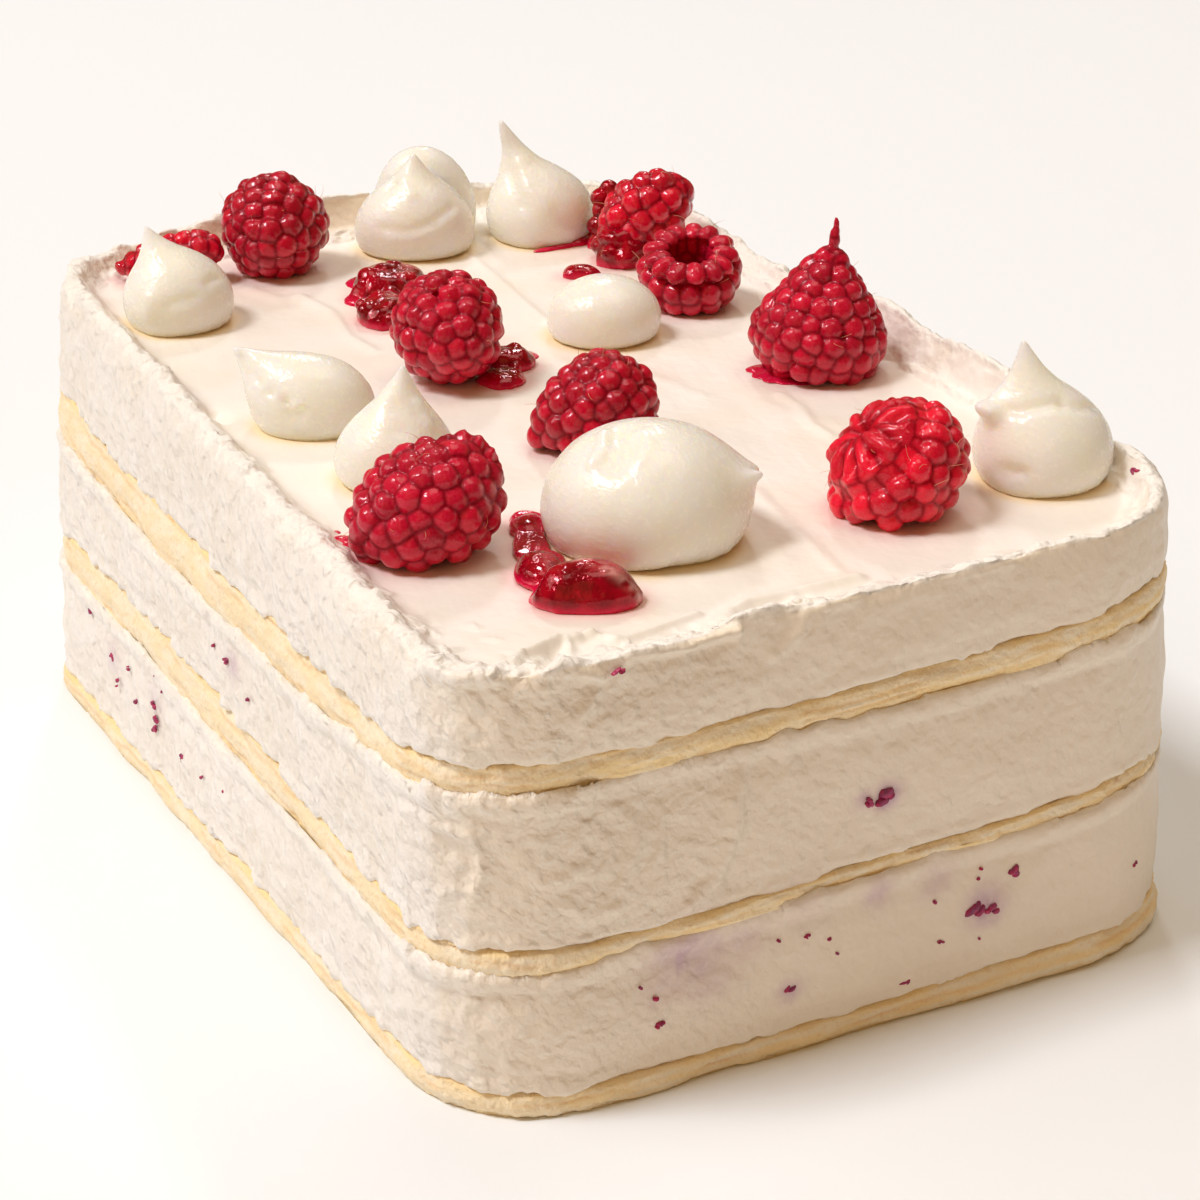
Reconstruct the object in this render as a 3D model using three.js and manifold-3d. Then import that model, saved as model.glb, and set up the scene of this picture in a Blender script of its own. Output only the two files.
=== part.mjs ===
// A layered cream cake: a rounded rectangular block of three thin sponge sheets and three
// layers of whipped cream. The top layer has a raised, ragged rim round a smooth floor that
// slopes up towards the back, and on the floor lie piped cream kisses, berries and jam.
// Millimetres. +Z up, +Y along the long side to the back, the base lies on z = 0.
import * as THREE from 'three';
import { mergeVertices } from 'three/addons/utils/BufferGeometryUtils.js';
import Module from 'manifold-3d';

const wasm = await Module();
wasm.setup();

// ---- the block ----
const LENGTH = 183;
const HEIGHT = 70.7;
const TILT = 8.6; // how much higher the top is at the back than at the front
const GAP = 0.3; // clear space between pieces that touch
const COLUMNS = 108; // points round every layer

// Plan corners, counter-clockwise: front left, front right, back right, back left.
const BASE_CORNERS = [[-60, -88.6], [62, -93], [61, 92], [-63, 90.4]];
const TOP_CORNERS = [[-61.2, -91.8], [60, -92.6], [58.5, 93.4], [-56.2, 90.6]];
const BASE_RADII = [20, 24, 20, 17];
const TOP_RADII = [16, 25, 20, 18];

// Where the layers meet, as shares of the local height, at: front left corner, middle of the
// front, front right corner, middle of the left side, back left corner, back right corner.
const INTERFACES = [
  [0, 0, 0, 0, 0, 0],
  [0.062, 0.060, 0.085, 0.062, 0.040, 0.055],
  [0.330, 0.366, 0.400, 0.312, 0.325, 0.370],
  [0.385, 0.402, 0.460, 0.423, 0.400, 0.430],
  [0.738, 0.746, 0.780, 0.613, 0.650, 0.690],
  [0.803, 0.812, 0.860, 0.735, 0.750, 0.790],
];
const RIPPLE = 0.35; // waviness of an interface at the outside

// ---- the top layer's rim, by the side of the block it runs along ----
const RIM_HEIGHT = 3; // rim crest above the smooth floor
const RIM = {
  left: { edgeDrop: 2.4, crestInset: 3.6, footInset: 7.2, swell: 0 },
  front: { edgeDrop: 0, crestInset: 1.7, footInset: 5, swell: 0.5 },
  right: { edgeDrop: 0.4, crestInset: 2, footInset: 4.6, swell: 0.3 },
  back: { edgeDrop: 0.5, crestInset: 2, footInset: 4.8, swell: 0.3 },
};
// Where the rim is heaped higher: plan place, extra height, reach along the rim.
const HEAPS = [[-23, 91, 2.4, 13], [4, 91, 2.6, 15], [30, 91, 2, 12], [58, 54, 1.7, 11],
  [58, -8, 3.7, 14], [58, -33, 3.7, 13], [57, -66, 1.4, 9], [22, -92, 0.9, 26], [-58, 70, 0.9, 22]];
const CRAG = 0.9; // ragged rise and fall of the crest

// ---- toppings ----
const KISS_COLUMNS = 16;
const SPIKE = 0.4; // the thin tip's reach, as a share of the drawn-out part's
const BERRY_COLUMNS = 20; // two for each drupelet
const DRUPELET = 0.7; // how far a drupelet stands out
const JAM_COLUMNS = 12;
const WAIST = 0.28; // height of a kiss's widest ring, as a share of its dome

const SPONGE = new THREE.Color(0xf2d9a4);
const CREAM = new THREE.Color(0xf7eee0);
const KISS = new THREE.Color(0xfbf3df);
const BERRY = new THREE.Color(0xc11232);
const JAM = new THREE.Color(0x8f0618);

const cake = new THREE.Group();

// ---------------------------------------------------------------- repeatable randomness

// A number from 0 to 1 that depends only on three whole numbers.
function hash(i, j, k) {
  let n = Math.imul(i, 374761393) ^ Math.imul(j, 668265263) ^ Math.imul(k, 1274126177);
  n = Math.imul(n ^ (n >>> 13), 1103515245);
  return ((n ^ (n >>> 16)) >>> 0) / 4294967296;
}

// Smooth lumps from -1 to 1, about `size` mm apart; `seed` gives another set of lumps.
function lumps(point, size, seed) {
  const spot = [point.x / size + seed, point.y / size, point.z / size];
  const cell = spot.map(Math.floor);
  const part = spot.map((value, axis) => THREE.MathUtils.smoothstep(value - cell[axis], 0, 1));
  let sum = 0;
  for (let corner = 0; corner < 8; corner++) {
    const step = [corner & 1, (corner >> 1) & 1, corner >> 2];
    const weight = step.reduce((product, on, axis) => product * (on ? part[axis] : 1 - part[axis]), 1);
    sum += weight * hash(cell[0] + step[0], cell[1] + step[1], cell[2] + step[2]);
  }
  return 2 * sum - 1;
}

// ---------------------------------------------------------------- closed skins

// Merges a geometry's shared points and drops the faces that closed up at a pole.
function sealed(geometry) {
  geometry.deleteAttribute('normal');
  geometry.deleteAttribute('uv');
  const merged = mergeVertices(geometry, 1e-3);
  const index = merged.getIndex().array;
  const kept = [];
  for (let face = 0; face < index.length; face += 3) {
    const [a, b, c] = index.slice(face, face + 3);
    if (a !== b && b !== c && c !== a) {
      kept.push(a, b, c);
    }
  }
  merged.setIndex(kept);
  merged.computeVertexNormals();
  return merged;
}

// A turned body with its poles on the first and the last ring, counted from the bottom.
// place(column, ring) says where each of its points goes.
function skin(columns, rings, place) {
  const halfCircle = [];
  for (let ring = 0; ring < rings; ring++) {
    const angle = Math.PI * (ring / (rings - 1) - 0.5);
    halfCircle.push(new THREE.Vector2(Math.cos(angle), Math.sin(angle)));
  }
  const geometry = new THREE.LatheGeometry(halfCircle, columns);
  const position = geometry.getAttribute('position');
  for (let column = 0; column <= columns; column++) {
    for (let ring = 0; ring < rings; ring++) {
      const point = place(column % columns, ring);
      position.setXYZ(column * rings + ring, point.x, point.y, point.z);
    }
  }
  return sealed(geometry);
}

function toManifold(geometry) {
  const vertProperties = new Float32Array(geometry.getAttribute('position').array);
  const triVerts = new Uint32Array(geometry.getIndex().array);
  return new wasm.Manifold(new wasm.Mesh({ numProp: 3, vertProperties, triVerts }));
}

function fromManifold(solid) {
  const mesh = solid.getMesh();
  const geometry = new THREE.BufferGeometry();
  geometry.setAttribute('position', new THREE.BufferAttribute(mesh.vertProperties, 3));
  geometry.setIndex(Array.from(mesh.triVerts));
  geometry.computeVertexNormals();
  return geometry;
}

function add(name, geometry, color, roughness) {
  const material = new THREE.MeshStandardMaterial({ color, roughness, metalness: 0 });
  const mesh = new THREE.Mesh(geometry, material);
  mesh.name = name;
  cake.add(mesh);
}

// ---------------------------------------------------------------- the block's outline

// Points at even steps round a quadrilateral with round corners, each with its outward normal.
function outline(corners, radii) {
  const spots = corners.map(([x, y]) => new THREE.Vector2(x, y));
  const path = new THREE.Path();
  const start = spots[0].clone().lerp(spots[1], 0.5);
  path.moveTo(start.x, start.y);
  for (let turn = 1; turn <= 4; turn++) {
    const corner = spots[turn % 4];
    const back = spots[(turn + 3) % 4].clone().sub(corner).normalize();
    const ahead = spots[(turn + 1) % 4].clone().sub(corner).normalize();
    const half = Math.acos(back.dot(ahead)) / 2;
    const radius = radii[turn % 4];
    const enter = corner.clone().addScaledVector(back, radius / Math.tan(half));
    const leave = corner.clone().addScaledVector(ahead, radius / Math.tan(half));
    const inward = back.clone().add(ahead).normalize();
    const middle = corner.clone().addScaledVector(inward, radius / Math.sin(half));
    const from = enter.clone().sub(middle).angle();
    const to = leave.clone().sub(middle).angle();
    path.lineTo(enter.x, enter.y);
    path.absarc(middle.x, middle.y, radius, from, to, false);
  }
  path.lineTo(start.x, start.y);
  return Array.from({ length: COLUMNS }, (_, column) => {
    const point = path.getPointAt(column / COLUMNS);
    const along = path.getTangentAt(column / COLUMNS);
    return { point, normal: new THREE.Vector2(along.y, -along.x) };
  });
}

const baseOutline = outline(BASE_CORNERS, BASE_RADII);
const topOutline = outline(TOP_CORNERS, TOP_RADII);

// The block's height at a place along its length, without the rim's crags.
function localHeight(y) {
  return HEIGHT + TILT * y / LENGTH;
}

function floorHeight(y) {
  return localHeight(y) - RIM_HEIGHT;
}

// Where two layers meet above a point of the plan, in mm.
function interfaceHeight(level, x, y) {
  const [frontLeft, frontMiddle, frontRight, leftMiddle, backLeft, backRight] = INTERFACES[level];
  const [[west, south], , [east, north]] = BASE_CORNERS;
  const u = THREE.MathUtils.clamp((x - west) / (east - west), 0, 1);
  const v = THREE.MathUtils.clamp((y - south) / (north - south), 0, 1);
  const front = THREE.MathUtils.lerp(frontLeft, frontRight, u);
  const back = THREE.MathUtils.lerp(backLeft, backRight, u);
  const frontBow = (frontMiddle - (frontLeft + frontRight) / 2) * 4 * u * (1 - u) * (1 - v);
  const leftBow = (leftMiddle - (frontLeft + backLeft) / 2) * 4 * v * (1 - v) * (1 - u);
  const share = THREE.MathUtils.lerp(front, back, v) + frontBow + leftBow;
  const ripple = level > 0 ? RIPPLE * lumps(new THREE.Vector3(x, y, 0), 24, 7 * level) : 0;
  return share * localHeight(y) + ripple;
}

// The column's place on the block's outside at a share of the height, moved in by `inset`.
function outside(column, share, inset) {
  const low = baseOutline[column];
  const high = topOutline[column];
  const point = low.point.clone().lerp(high.point, share);
  const normal = low.normal.clone().lerp(high.normal, share);
  return point.addScaledVector(normal, -inset);
}

// The height of an interface at a column's outside.
function interfaceEdge(level, column) {
  const { x, y } = outside(column, INTERFACES[level][0], 0);
  return interfaceHeight(level, x, y);
}

// ---------------------------------------------------------------- sponge and cream

// The side of a layer, between two interfaces, at a share `rise` of the layer's thickness.
function sidePoint(column, level, rise, inset, roughness) {
  const low = level === 0 ? 0 : interfaceEdge(level, column) + GAP / 2;
  const high = interfaceEdge(level + 1, column) - GAP / 2;
  const z = THREE.MathUtils.lerp(low, high, rise);
  const flat = outside(column, z / HEIGHT, 0);
  const lump = lumps(new THREE.Vector3(flat.x, flat.y, z), 11, 3 + level);
  const { x, y } = outside(column, z / HEIGHT, inset - roughness * lump);
  return new THREE.Vector3(x, y, z);
}

// One layer that lies between two interfaces. `insets` go up its side.
function layer(level, insets, roughness) {
  const rows = insets.length;
  return skin(COLUMNS, rows + 2, (column, ring) => {
    if (ring === 0) {
      const z = level === 0 ? 0 : interfaceHeight(level, 0, 0) + GAP / 2;
      return new THREE.Vector3(0, 0, z);
    }
    if (ring === rows + 1) {
      return new THREE.Vector3(0, 0, interfaceHeight(level + 1, 0, 0) - GAP / 2);
    }
    return sidePoint(column, level, (ring - 1) / (rows - 1), insets[ring - 1], roughness);
  });
}

// A value of the rim at a column, blended between the four sides by the outward normal.
function rimValue(name, { x, y }) {
  const sideways = x < 0 ? RIM.left : RIM.right;
  const lengthways = y < 0 ? RIM.front : RIM.back;
  return sideways[name] * x * x + lengthways[name] * y * y;
}

// How much higher than its plain height the rim stands at a column.
function rimSwell({ point, normal }) {
  const heaped = HEAPS.map(([x, y, height, reach]) => {
    const off = Math.hypot(point.x - x, point.y - y) / reach;
    return height * Math.exp(-off * off);
  });
  return heaped.reduce((sum, height) => sum + height, rimValue('swell', normal));
}

// The top layer: its side, the ragged rim, and the smooth floor inside it.
function topLayer() {
  const sideRises = [0, 0.3, 0.62];
  const sideInsets = [0.7, -0.1, 0.1];
  // Rows over the rim: inset as a share of the crest's or the foot's, and the height as a
  // share of the way from the floor to the crest.
  const rimRows = [
    { of: 'edge', share: 0, rise: 1 },
    { of: 'crestInset', share: 0.45, rise: 1 },
    { of: 'crestInset', share: 1, rise: 1 },
    { of: 'footInset', share: 0.7, rise: 0.5 },
    { of: 'footInset', share: 1, rise: 0 },
  ];
  const lastRing = sideRises.length + rimRows.length + 1;
  return skin(COLUMNS, lastRing + 1, (column, ring) => {
    if (ring === 0) {
      return new THREE.Vector3(0, 0, interfaceHeight(5, 0, 0) + GAP / 2);
    }
    if (ring === lastRing) {
      return new THREE.Vector3(0, 0, floorHeight(0));
    }
    const { point, normal } = topOutline[column];
    const drop = rimValue('edgeDrop', normal);
    const low = interfaceEdge(5, column) + GAP / 2;
    const swell = rimSwell(topOutline[column]);
    const edgeHeight = localHeight(point.y) - drop + 0.8 * swell;
    if (ring <= sideRises.length) {
      const z = THREE.MathUtils.lerp(low, edgeHeight, sideRises[ring - 1]);
      const rough = 0.5 * lumps(new THREE.Vector3(point.x, point.y, z), 11, 9);
      const { x, y } = outside(column, z / HEIGHT, sideInsets[ring - 1] - rough);
      return new THREE.Vector3(x, y, z);
    }
    const row = rimRows[ring - sideRises.length - 1];
    const crag = lumps(new THREE.Vector3(point.x, point.y, 9 * ring), 9, 21);
    if (row.of === 'edge') {
      const { x, y } = outside(column, 1, 0.2 - 0.7 * crag);
      return new THREE.Vector3(x, y, edgeHeight - 0.8 + CRAG * crag);
    }
    const crest = localHeight(point.y) + swell + CRAG * crag;
    const { x, y } = outside(column, 1, row.share * rimValue(row.of, normal) + 0.4 * crag);
    const floor = floorHeight(y);
    const z = row.share < 1 && row.of === 'crestInset' ? crest - drop / 2 : crest;
    return new THREE.Vector3(x, y, THREE.MathUtils.lerp(floor, z, row.rise));
  });
}

// ---------------------------------------------------------------- cream kisses

const UP = new THREE.Vector3(0, 0, 1);

const TURN = THREE.MathUtils.degToRad(-27.6); // how far the toppings' widths are turned

// Rings of a kiss, in degrees from its tip: a standing one, and one drawn out to the side.
const STANDING = [180, 132, 108, 88, 70, 53, 37, 23, 12, 4, 0];
const SIDEWAYS = [180, 160, 138, 117, 97, 77, 57, 38, 21, 8, 0];

// A soft dome with a flat foot, drawn out into one or more tips. at: plan place; size: the
// half widths along the turned X and Y, and the height; tips: offsets from the foot's middle,
// each with the angle over which it draws the dome out and how full it is down to its root.

function kissShape({ at, size, tips, rings = STANDING }, grow) {
  const [across, away, height] = size;
  const [x, y] = at;
  const middle = new THREE.Vector3(x, y, floorHeight(y) + GAP + WAIST * height);
  const scale = new THREE.Vector3(across + grow, away + grow, (1 - WAIST) * height + grow);
  const turn = new THREE.Quaternion().setFromAxisAngle(UP, TURN);
  const back = turn.clone().invert();
  const onDome = (direction) => direction.clone().multiply(scale);
  const horns = tips.map(({ to, spread, fullness = 0.4 }) => {
    const offset = new THREE.Vector3(...to).sub(new THREE.Vector3(0, 0, WAIST * height));
    offset.applyQuaternion(back);
    const direction = offset.clone().divide(scale).normalize();
    const pull = offset.clone().sub(onDome(direction));
    return { direction, pull, fullness, spread: THREE.MathUtils.degToRad(spread) };
  });
  const pole = horns.length > 0 ? horns[0].direction : UP;
  const lean = new THREE.Quaternion().setFromUnitVectors(UP, pole);
  return skin(KISS_COLUMNS, rings.length, (column, ring) => {
    const angle = THREE.MathUtils.degToRad(rings[ring]);
    const round = 2 * Math.PI * column / KISS_COLUMNS;
    const direction = new THREE.Vector3().setFromSphericalCoords(1, angle, round);
    direction.set(direction.z, direction.x, direction.y).applyQuaternion(lean);
    const point = onDome(direction);
    for (const horn of horns) {
      const off = direction.angleTo(horn.direction) / horn.spread;
      const swell = Math.max(0, 1 - off) ** 2;
      const spike = Math.max(0, 1 - off / SPIKE) ** 2;
      point.addScaledVector(horn.pull, THREE.MathUtils.lerp(spike, swell, horn.fullness));
    }
    point.applyQuaternion(turn).add(middle);
    const foot = floorHeight(point.y) + GAP - grow;
    point.z = Math.max(point.z, foot);
    return point;
  });
}

const KISSES = {
  kiss_back_left: {
    at: [-41.2, 57.2], size: [9.3, 9, 11.8],
    tips: [{ to: [-4, 2.2, 16.2], spread: 62, fullness: 0.3 }],
  },
  kiss_back: {
    at: [9.2, 74], size: [11, 9.2, 12.6],
    tips: [{ to: [0.4, -0.4, 17.4], spread: 62 }],
  },
  kiss_tall: {
    at: [33.2, 71], size: [10.1, 9.8, 12.3],
    tips: [{ to: [-6.2, 3.2, 21.2], spread: 66 }],
  },
  kiss_left: {
    at: [-38.8, 4.2], size: [9.6, 7.8, 10.6], rings: SIDEWAYS,
    tips: [{ to: [-10.4, 5.6, 12.4], spread: 66, fullness: 0.6 }],
  },
  kiss_front_left: {
    at: [-36.3, -20.9], size: [9.1, 8.8, 9.8],
    tips: [{ to: [1.6, -0.8, 17], spread: 75, fullness: 0.6 }],
  },
  kiss_round: {
    at: [18.2, 18.3], size: [9.6, 8.6, 9.8],
    tips: [],
  },
  kiss_front: {
    at: [-14.3, -56], size: [14.6, 13.8, 16.8], rings: SIDEWAYS,
    tips: [{ to: [13.9, -7.2, 9.6], spread: 42, fullness: 0.3 }],
  },
  kiss_right: {
    at: [46.7, -63.8], size: [10.4, 9.6, 13.2],
    tips: [{ to: [-3, 1.6, 20.6], spread: 62 }, { to: [-9.2, 3, 12.8], spread: 44 }],
  },
};
const KISS_BEHIND = { at: [14.6, 81.4], size: [9.4, 6.2, 15.8], tips: [] };

// ---------------------------------------------------------------- berries

// Profiles from the closed end to the stalk end, as shares of the radius and half length.
const BERRY_RINGS = 12;
const HOLLOW_PROFILE = [
  [0, -1], [0.42, -0.9], [0.7, -0.7], [0.9, -0.42], [0.99, -0.1], [1, 0.22], [0.95, 0.52],
  [0.78, 0.8], [0.52, 0.86], [0.36, 0.6], [0.3, 0.2], [0.2, -0.2], [0, -0.3],
];

// How far a point stands out: rows of drupelets, each row half a drupelet round from the last.
function drupelet(column, ring) {
  if (ring % 2 === 0) {
    return -0.35 * DRUPELET;
  }
  const row = (ring - 1) / 2;
  return (column + row) % 2 === 0 ? DRUPELET : -0.55 * DRUPELET;
}

// A berry that lies with its closed end along `axis`. rise: its middle above the floor;
// taper: how much narrower the closed end is; squash: the share of its width left across.
function berryShape(berry, grow) {
  const { at, radius, half, axis, rise, taper = 0.15, squash = 1, tip = 0, hollow = false } = berry;
  const [x, y] = at;
  const middle = new THREE.Vector3(x, y, floorHeight(y) + GAP + rise);
  const turn = new THREE.Quaternion().setFromUnitVectors(UP, new THREE.Vector3(...axis).normalize());
  const rings = hollow ? HOLLOW_PROFILE.length : BERRY_RINGS + 1;
  return skin(BERRY_COLUMNS, rings, (column, ring) => {
    const round = 2 * Math.PI * column / BERRY_COLUMNS;
    const angle = Math.PI * (1 - ring / BERRY_RINGS);
    const [out, up] = hollow ? HOLLOW_PROFILE[ring] : [Math.sin(angle), Math.cos(angle)];
    const pole = ring === 0 || ring === rings - 1;
    const inner = hollow && ring > 8;
    const bump = pole || inner ? 0 : drupelet(column, ring) * (hollow && ring > 6 ? 0.6 : 1);
    const width = (radius * (1 - taper * up) + bump + grow) * out;
    const point = new THREE.Vector3(Math.cos(round) * width, Math.sin(round) * width * squash, 0);
    point.z = up * (half + (inner ? 0 : 0.5 * bump) + grow);
    if (ring === rings - 1) {
      point.z += tip;
    }
    point.applyQuaternion(turn).add(middle);
    point.z = Math.max(point.z, floorHeight(point.y) + GAP - grow);
    return point;
  });
}

const BERRIES = {
  berry_back_left: { at: [-17.4, 74.4], radius: 8.7, half: 8.8, axis: [-0.5, -0.7, -0.2], rise: 7.2 },
  berry_centre: { at: [-12.8, 11], radius: 8.2, half: 8.8, axis: [-0.1, -0.75, -0.1], rise: 8.2 },
  berry_middle: {
    at: [-5.6, -23.4], radius: 7.4, half: 9.4, axis: [-0.8, 0.3, -0.42], rise: 5.2, taper: 0.24,
  },
  berry_front_left: {
    at: [-43.2, -46.4], radius: 8.2, half: 10.6, axis: [-0.84, 0.2, -0.4], rise: 6.1, taper: 0.08,
  },
  berry_right: {
    at: [41.8, -11.4], radius: 9.7, half: 10.8, axis: [0.14, -0.07, 1], rise: 8.2, taper: 0.36, tip: 4,
  },
  berry_front_right: {
    at: [21.4, -63.8], radius: 10.1, half: 8.8, axis: [-0.55, 0.1, 0.6], rise: 6.2,
    taper: 0, squash: 0.94, hollow: true,
  },
  berry_hollow: {
    at: [38.3, 25], radius: 8.2, half: 6.2, axis: [-0.15, -0.35, 0.9], rise: 5.2, taper: 0, hollow: true,
  },
  berry_crushed: { at: [44.3, 52], radius: 6.4, half: 8.8, axis: [0.7, -0.34, 0.6], rise: 7.2, taper: 0 },
  berry_split: { at: [-36, 77.8], radius: 3.7, half: 9, axis: [-0.84, 0.44, -0.22], rise: 3.6, taper: 0.25 },
};

// ---------------------------------------------------------------- jam

// Spoonfuls of jam: flat-footed blobs joined into one pool. Each: plan place, the half widths
// along the turned X and Y, height.
const JAMS = {
  jam_left: [[-4.6, 53.4, 7.2, 6.4, 4.6], [-10.6, 43, 4.8, 6.2, 3.4]],
  jam_centre: [[-2, 13, 4.4, 3.4, 2.6], [-6, 7.4, 4, 4, 1.5]],
  jam_behind: [[28.8, 46.8, 3.6, 2.2, 1.6]],
  jam_front: [[-31, -69.8, 7.6, 5, 5.4], [-33, -60.2, 3.8, 5.6, 4.2], [-30, -52, 2.8, 5, 2.6],
    [-27.2, -45.6, 2.8, 4.2, 3.2]],
  jam_back: [[38.6, 50.4, 4.8, 4.2, 6]],
};

function jamBlob([x, y, across, away, height], seed) {
  const rings = 6;
  const middle = new THREE.Vector3(x, y, floorHeight(y) + GAP);
  return skin(JAM_COLUMNS, rings, (column, ring) => {
    const angle = Math.PI * (1 - ring / (rings - 1));
    const round = 2 * Math.PI * column / JAM_COLUMNS;
    const spot = new THREE.Vector3(3 * Math.cos(round), 3 * Math.sin(round), 0);
    const wobble = 1 + 0.12 * lumps(spot, 2, seed);
    const point = new THREE.Vector3(across * Math.cos(round), away * Math.sin(round), 0);
    point.multiplyScalar(wobble * Math.sin(angle) ** 0.8).applyAxisAngle(UP, TURN).add(middle);
    point.z = floorHeight(point.y) + GAP + Math.max(0, height * Math.cos(angle));
    return point;
  });
}

function jamPool(blobs, neighbours) {
  let pool = toManifold(jamBlob(blobs[0], 1));
  blobs.slice(1).forEach((blob, index) => {
    pool = pool.add(toManifold(jamBlob(blob, index + 2)));
  });
  for (const neighbour of neighbours) {
    pool = pool.subtract(toManifold(neighbour));
  }
  const parts = pool.decompose().sort((one, other) => other.volume() - one.volume());
  return fromManifold(parts[0]);
}

// ---------------------------------------------------------------- the cake

const spongeInsets = [0.4, -0.3, 0.3];
const creamInsets = [0.6, 0, -0.2, 0, 0.5];
add('sponge_bottom', layer(0, [0.2, -0.7, 0.1], 0.5), SPONGE, 0.9);
add('cream_lower', layer(1, creamInsets, 0.5), CREAM, 0.55);
add('sponge_middle', layer(2, spongeInsets, 0.6), SPONGE, 0.9);
add('cream_middle', layer(3, creamInsets, 0.5), CREAM, 0.55);
add('sponge_top', layer(4, spongeInsets, 0.6), SPONGE, 0.9);
add('cream_top', topLayer(), CREAM, 0.55);

for (const [name, kiss] of Object.entries(KISSES)) {
  add(name, kissShape(kiss, 0), KISS, 0.35);
}
const behind = toManifold(kissShape(KISS_BEHIND, 0));
const pressed = behind.subtract(toManifold(kissShape(KISSES.kiss_back, GAP)));
add('kiss_behind', fromManifold(pressed), KISS, 0.35);

for (const [name, berry] of Object.entries(BERRIES)) {
  add(name, berryShape(berry, 0), BERRY, 0.4);
}

const PRESSED_BY = {
  jam_left: [],
  jam_centre: [berryShape(BERRIES.berry_centre, GAP)],
  jam_behind: [],
  jam_front: [kissShape(KISSES.kiss_front, GAP)],
  jam_back: [berryShape(BERRIES.berry_crushed, GAP)],
};
for (const [name, blobs] of Object.entries(JAMS)) {
  add(name, jamPool(blobs, PRESSED_BY[name]), JAM, 0.12);
}

// The origin is the middle of the block's box, on the base.
const box = new THREE.Box3().setFromObject(cake);
const centre = box.getCenter(new THREE.Vector3());
cake.position.set(-centre.x, -centre.y, 0);

export default cake;
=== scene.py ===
"""Looks of a layered cream cake with kisses, berries and jam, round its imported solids."""

import functools
import math
import random

import bpy
import numpy as np
from mathutils import Matrix, Vector
from mathutils.bvhtree import BVHTree
from mathutils.kdtree import KDTree


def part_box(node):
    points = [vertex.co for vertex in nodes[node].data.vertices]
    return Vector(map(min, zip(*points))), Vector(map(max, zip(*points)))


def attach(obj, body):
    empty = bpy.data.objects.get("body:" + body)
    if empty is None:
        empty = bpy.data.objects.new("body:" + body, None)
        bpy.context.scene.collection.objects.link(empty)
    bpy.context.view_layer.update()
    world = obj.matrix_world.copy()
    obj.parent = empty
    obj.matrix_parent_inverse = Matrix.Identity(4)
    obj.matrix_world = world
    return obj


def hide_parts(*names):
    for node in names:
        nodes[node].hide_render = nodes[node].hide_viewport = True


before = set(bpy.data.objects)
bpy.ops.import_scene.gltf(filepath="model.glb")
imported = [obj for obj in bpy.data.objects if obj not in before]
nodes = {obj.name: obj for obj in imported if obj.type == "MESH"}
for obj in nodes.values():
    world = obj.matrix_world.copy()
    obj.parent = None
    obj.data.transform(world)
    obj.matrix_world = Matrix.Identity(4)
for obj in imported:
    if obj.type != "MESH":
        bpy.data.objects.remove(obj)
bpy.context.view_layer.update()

MM = 0.001
SEED = 11
UP = Vector((0, 0, 1))

# ----- camera, light and floor

PICTURE = 1200  # pixels along each side of the photograph
FOCAL = 81.0
SENSOR = 36.0
CAMERA_PLACE = Vector((-177.06, -360.43, 204.2)) * MM
CAMERA_YAW = math.radians(-27.08)
CAMERA_PITCH = math.radians(23.24)
CAMERA_ROLL = math.radians(-1.41)

camera_turn = (
    Matrix.Rotation(CAMERA_YAW, 4, "Z")
    @ Matrix.Rotation(math.pi / 2 - CAMERA_PITCH, 4, "X")
    @ Matrix.Rotation(CAMERA_ROLL, 4, "Z")
)


def put_camera():
    bpy.ops.object.camera_add()
    camera = bpy.context.object
    camera.name = "camera"
    camera.data.lens = FOCAL
    camera.data.sensor_width = SENSOR
    camera.matrix_world = Matrix.Translation(CAMERA_PLACE) @ camera_turn
    bpy.context.scene.camera = camera


@functools.cache
def faces_of(names):
    """A tree over some nodes' faces, for sight lines and distances."""
    spots, faces = [], []
    for name in names:
        mesh = nodes[name].data
        start = len(spots)
        spots.extend(vertex.co.copy() for vertex in mesh.vertices)
        faces.extend([start + index for index in face.vertices] for face in mesh.polygons)
    return BVHTree.FromPolygons(spots, faces)


def sight(px, py):
    """The direction in which the camera sees a pixel of the photograph."""
    spread = SENSOR / FOCAL / PICTURE
    half = PICTURE / 2
    ray = Vector(((px - half) * spread, (half - py) * spread, -1))
    return (camera_turn.to_3x3() @ ray).normalized()


def seen(px, py, names):
    """Place and outward normal of the nearest of some nodes at a pixel of the photograph."""
    place, normal, _, _ = faces_of(names).ray_cast(CAMERA_PLACE, sight(px, py))
    return None if place is None else (place, normal)


def area_light(name, place, size, power, color):
    bpy.ops.object.light_add(type="AREA", location=place)
    light = bpy.context.object
    light.name = name
    light.data.size = size
    light.data.energy = power
    light.data.color = color
    aim = UP * 50 * MM - Vector(place)
    light.rotation_euler = aim.to_track_quat("-Z", "Y").to_euler()


LIGHTS = {  # place and width in metres, watts, colour
    "key": ((-3.24, 0.6, 5.8), 1.6, 252.0, (1.0, 0.99, 1.0)),
    "side_fill": ((-1.7, 0.9, 1.9), 1.2, 14.0, (1.0, 0.95, 0.87)),
    "front_fill": ((-1.5, -1.5, 1.3), 2.0, 6.0, (1.0, 0.58, 0.24)),
    "top_fill": ((0.6, -0.1, 2.8), 1.6, 20.0, (1.0, 0.93, 0.80)),
    "glint": ((0.9, 1.7, 1.9), 0.25, 8.0, (1.0, 1.0, 1.0)),
}
GLOW_COLOR = (1.0, 0.56, 0.20, 1)  # the weak warm light from all round
GLOW_STRENGTH = 0.17


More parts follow.
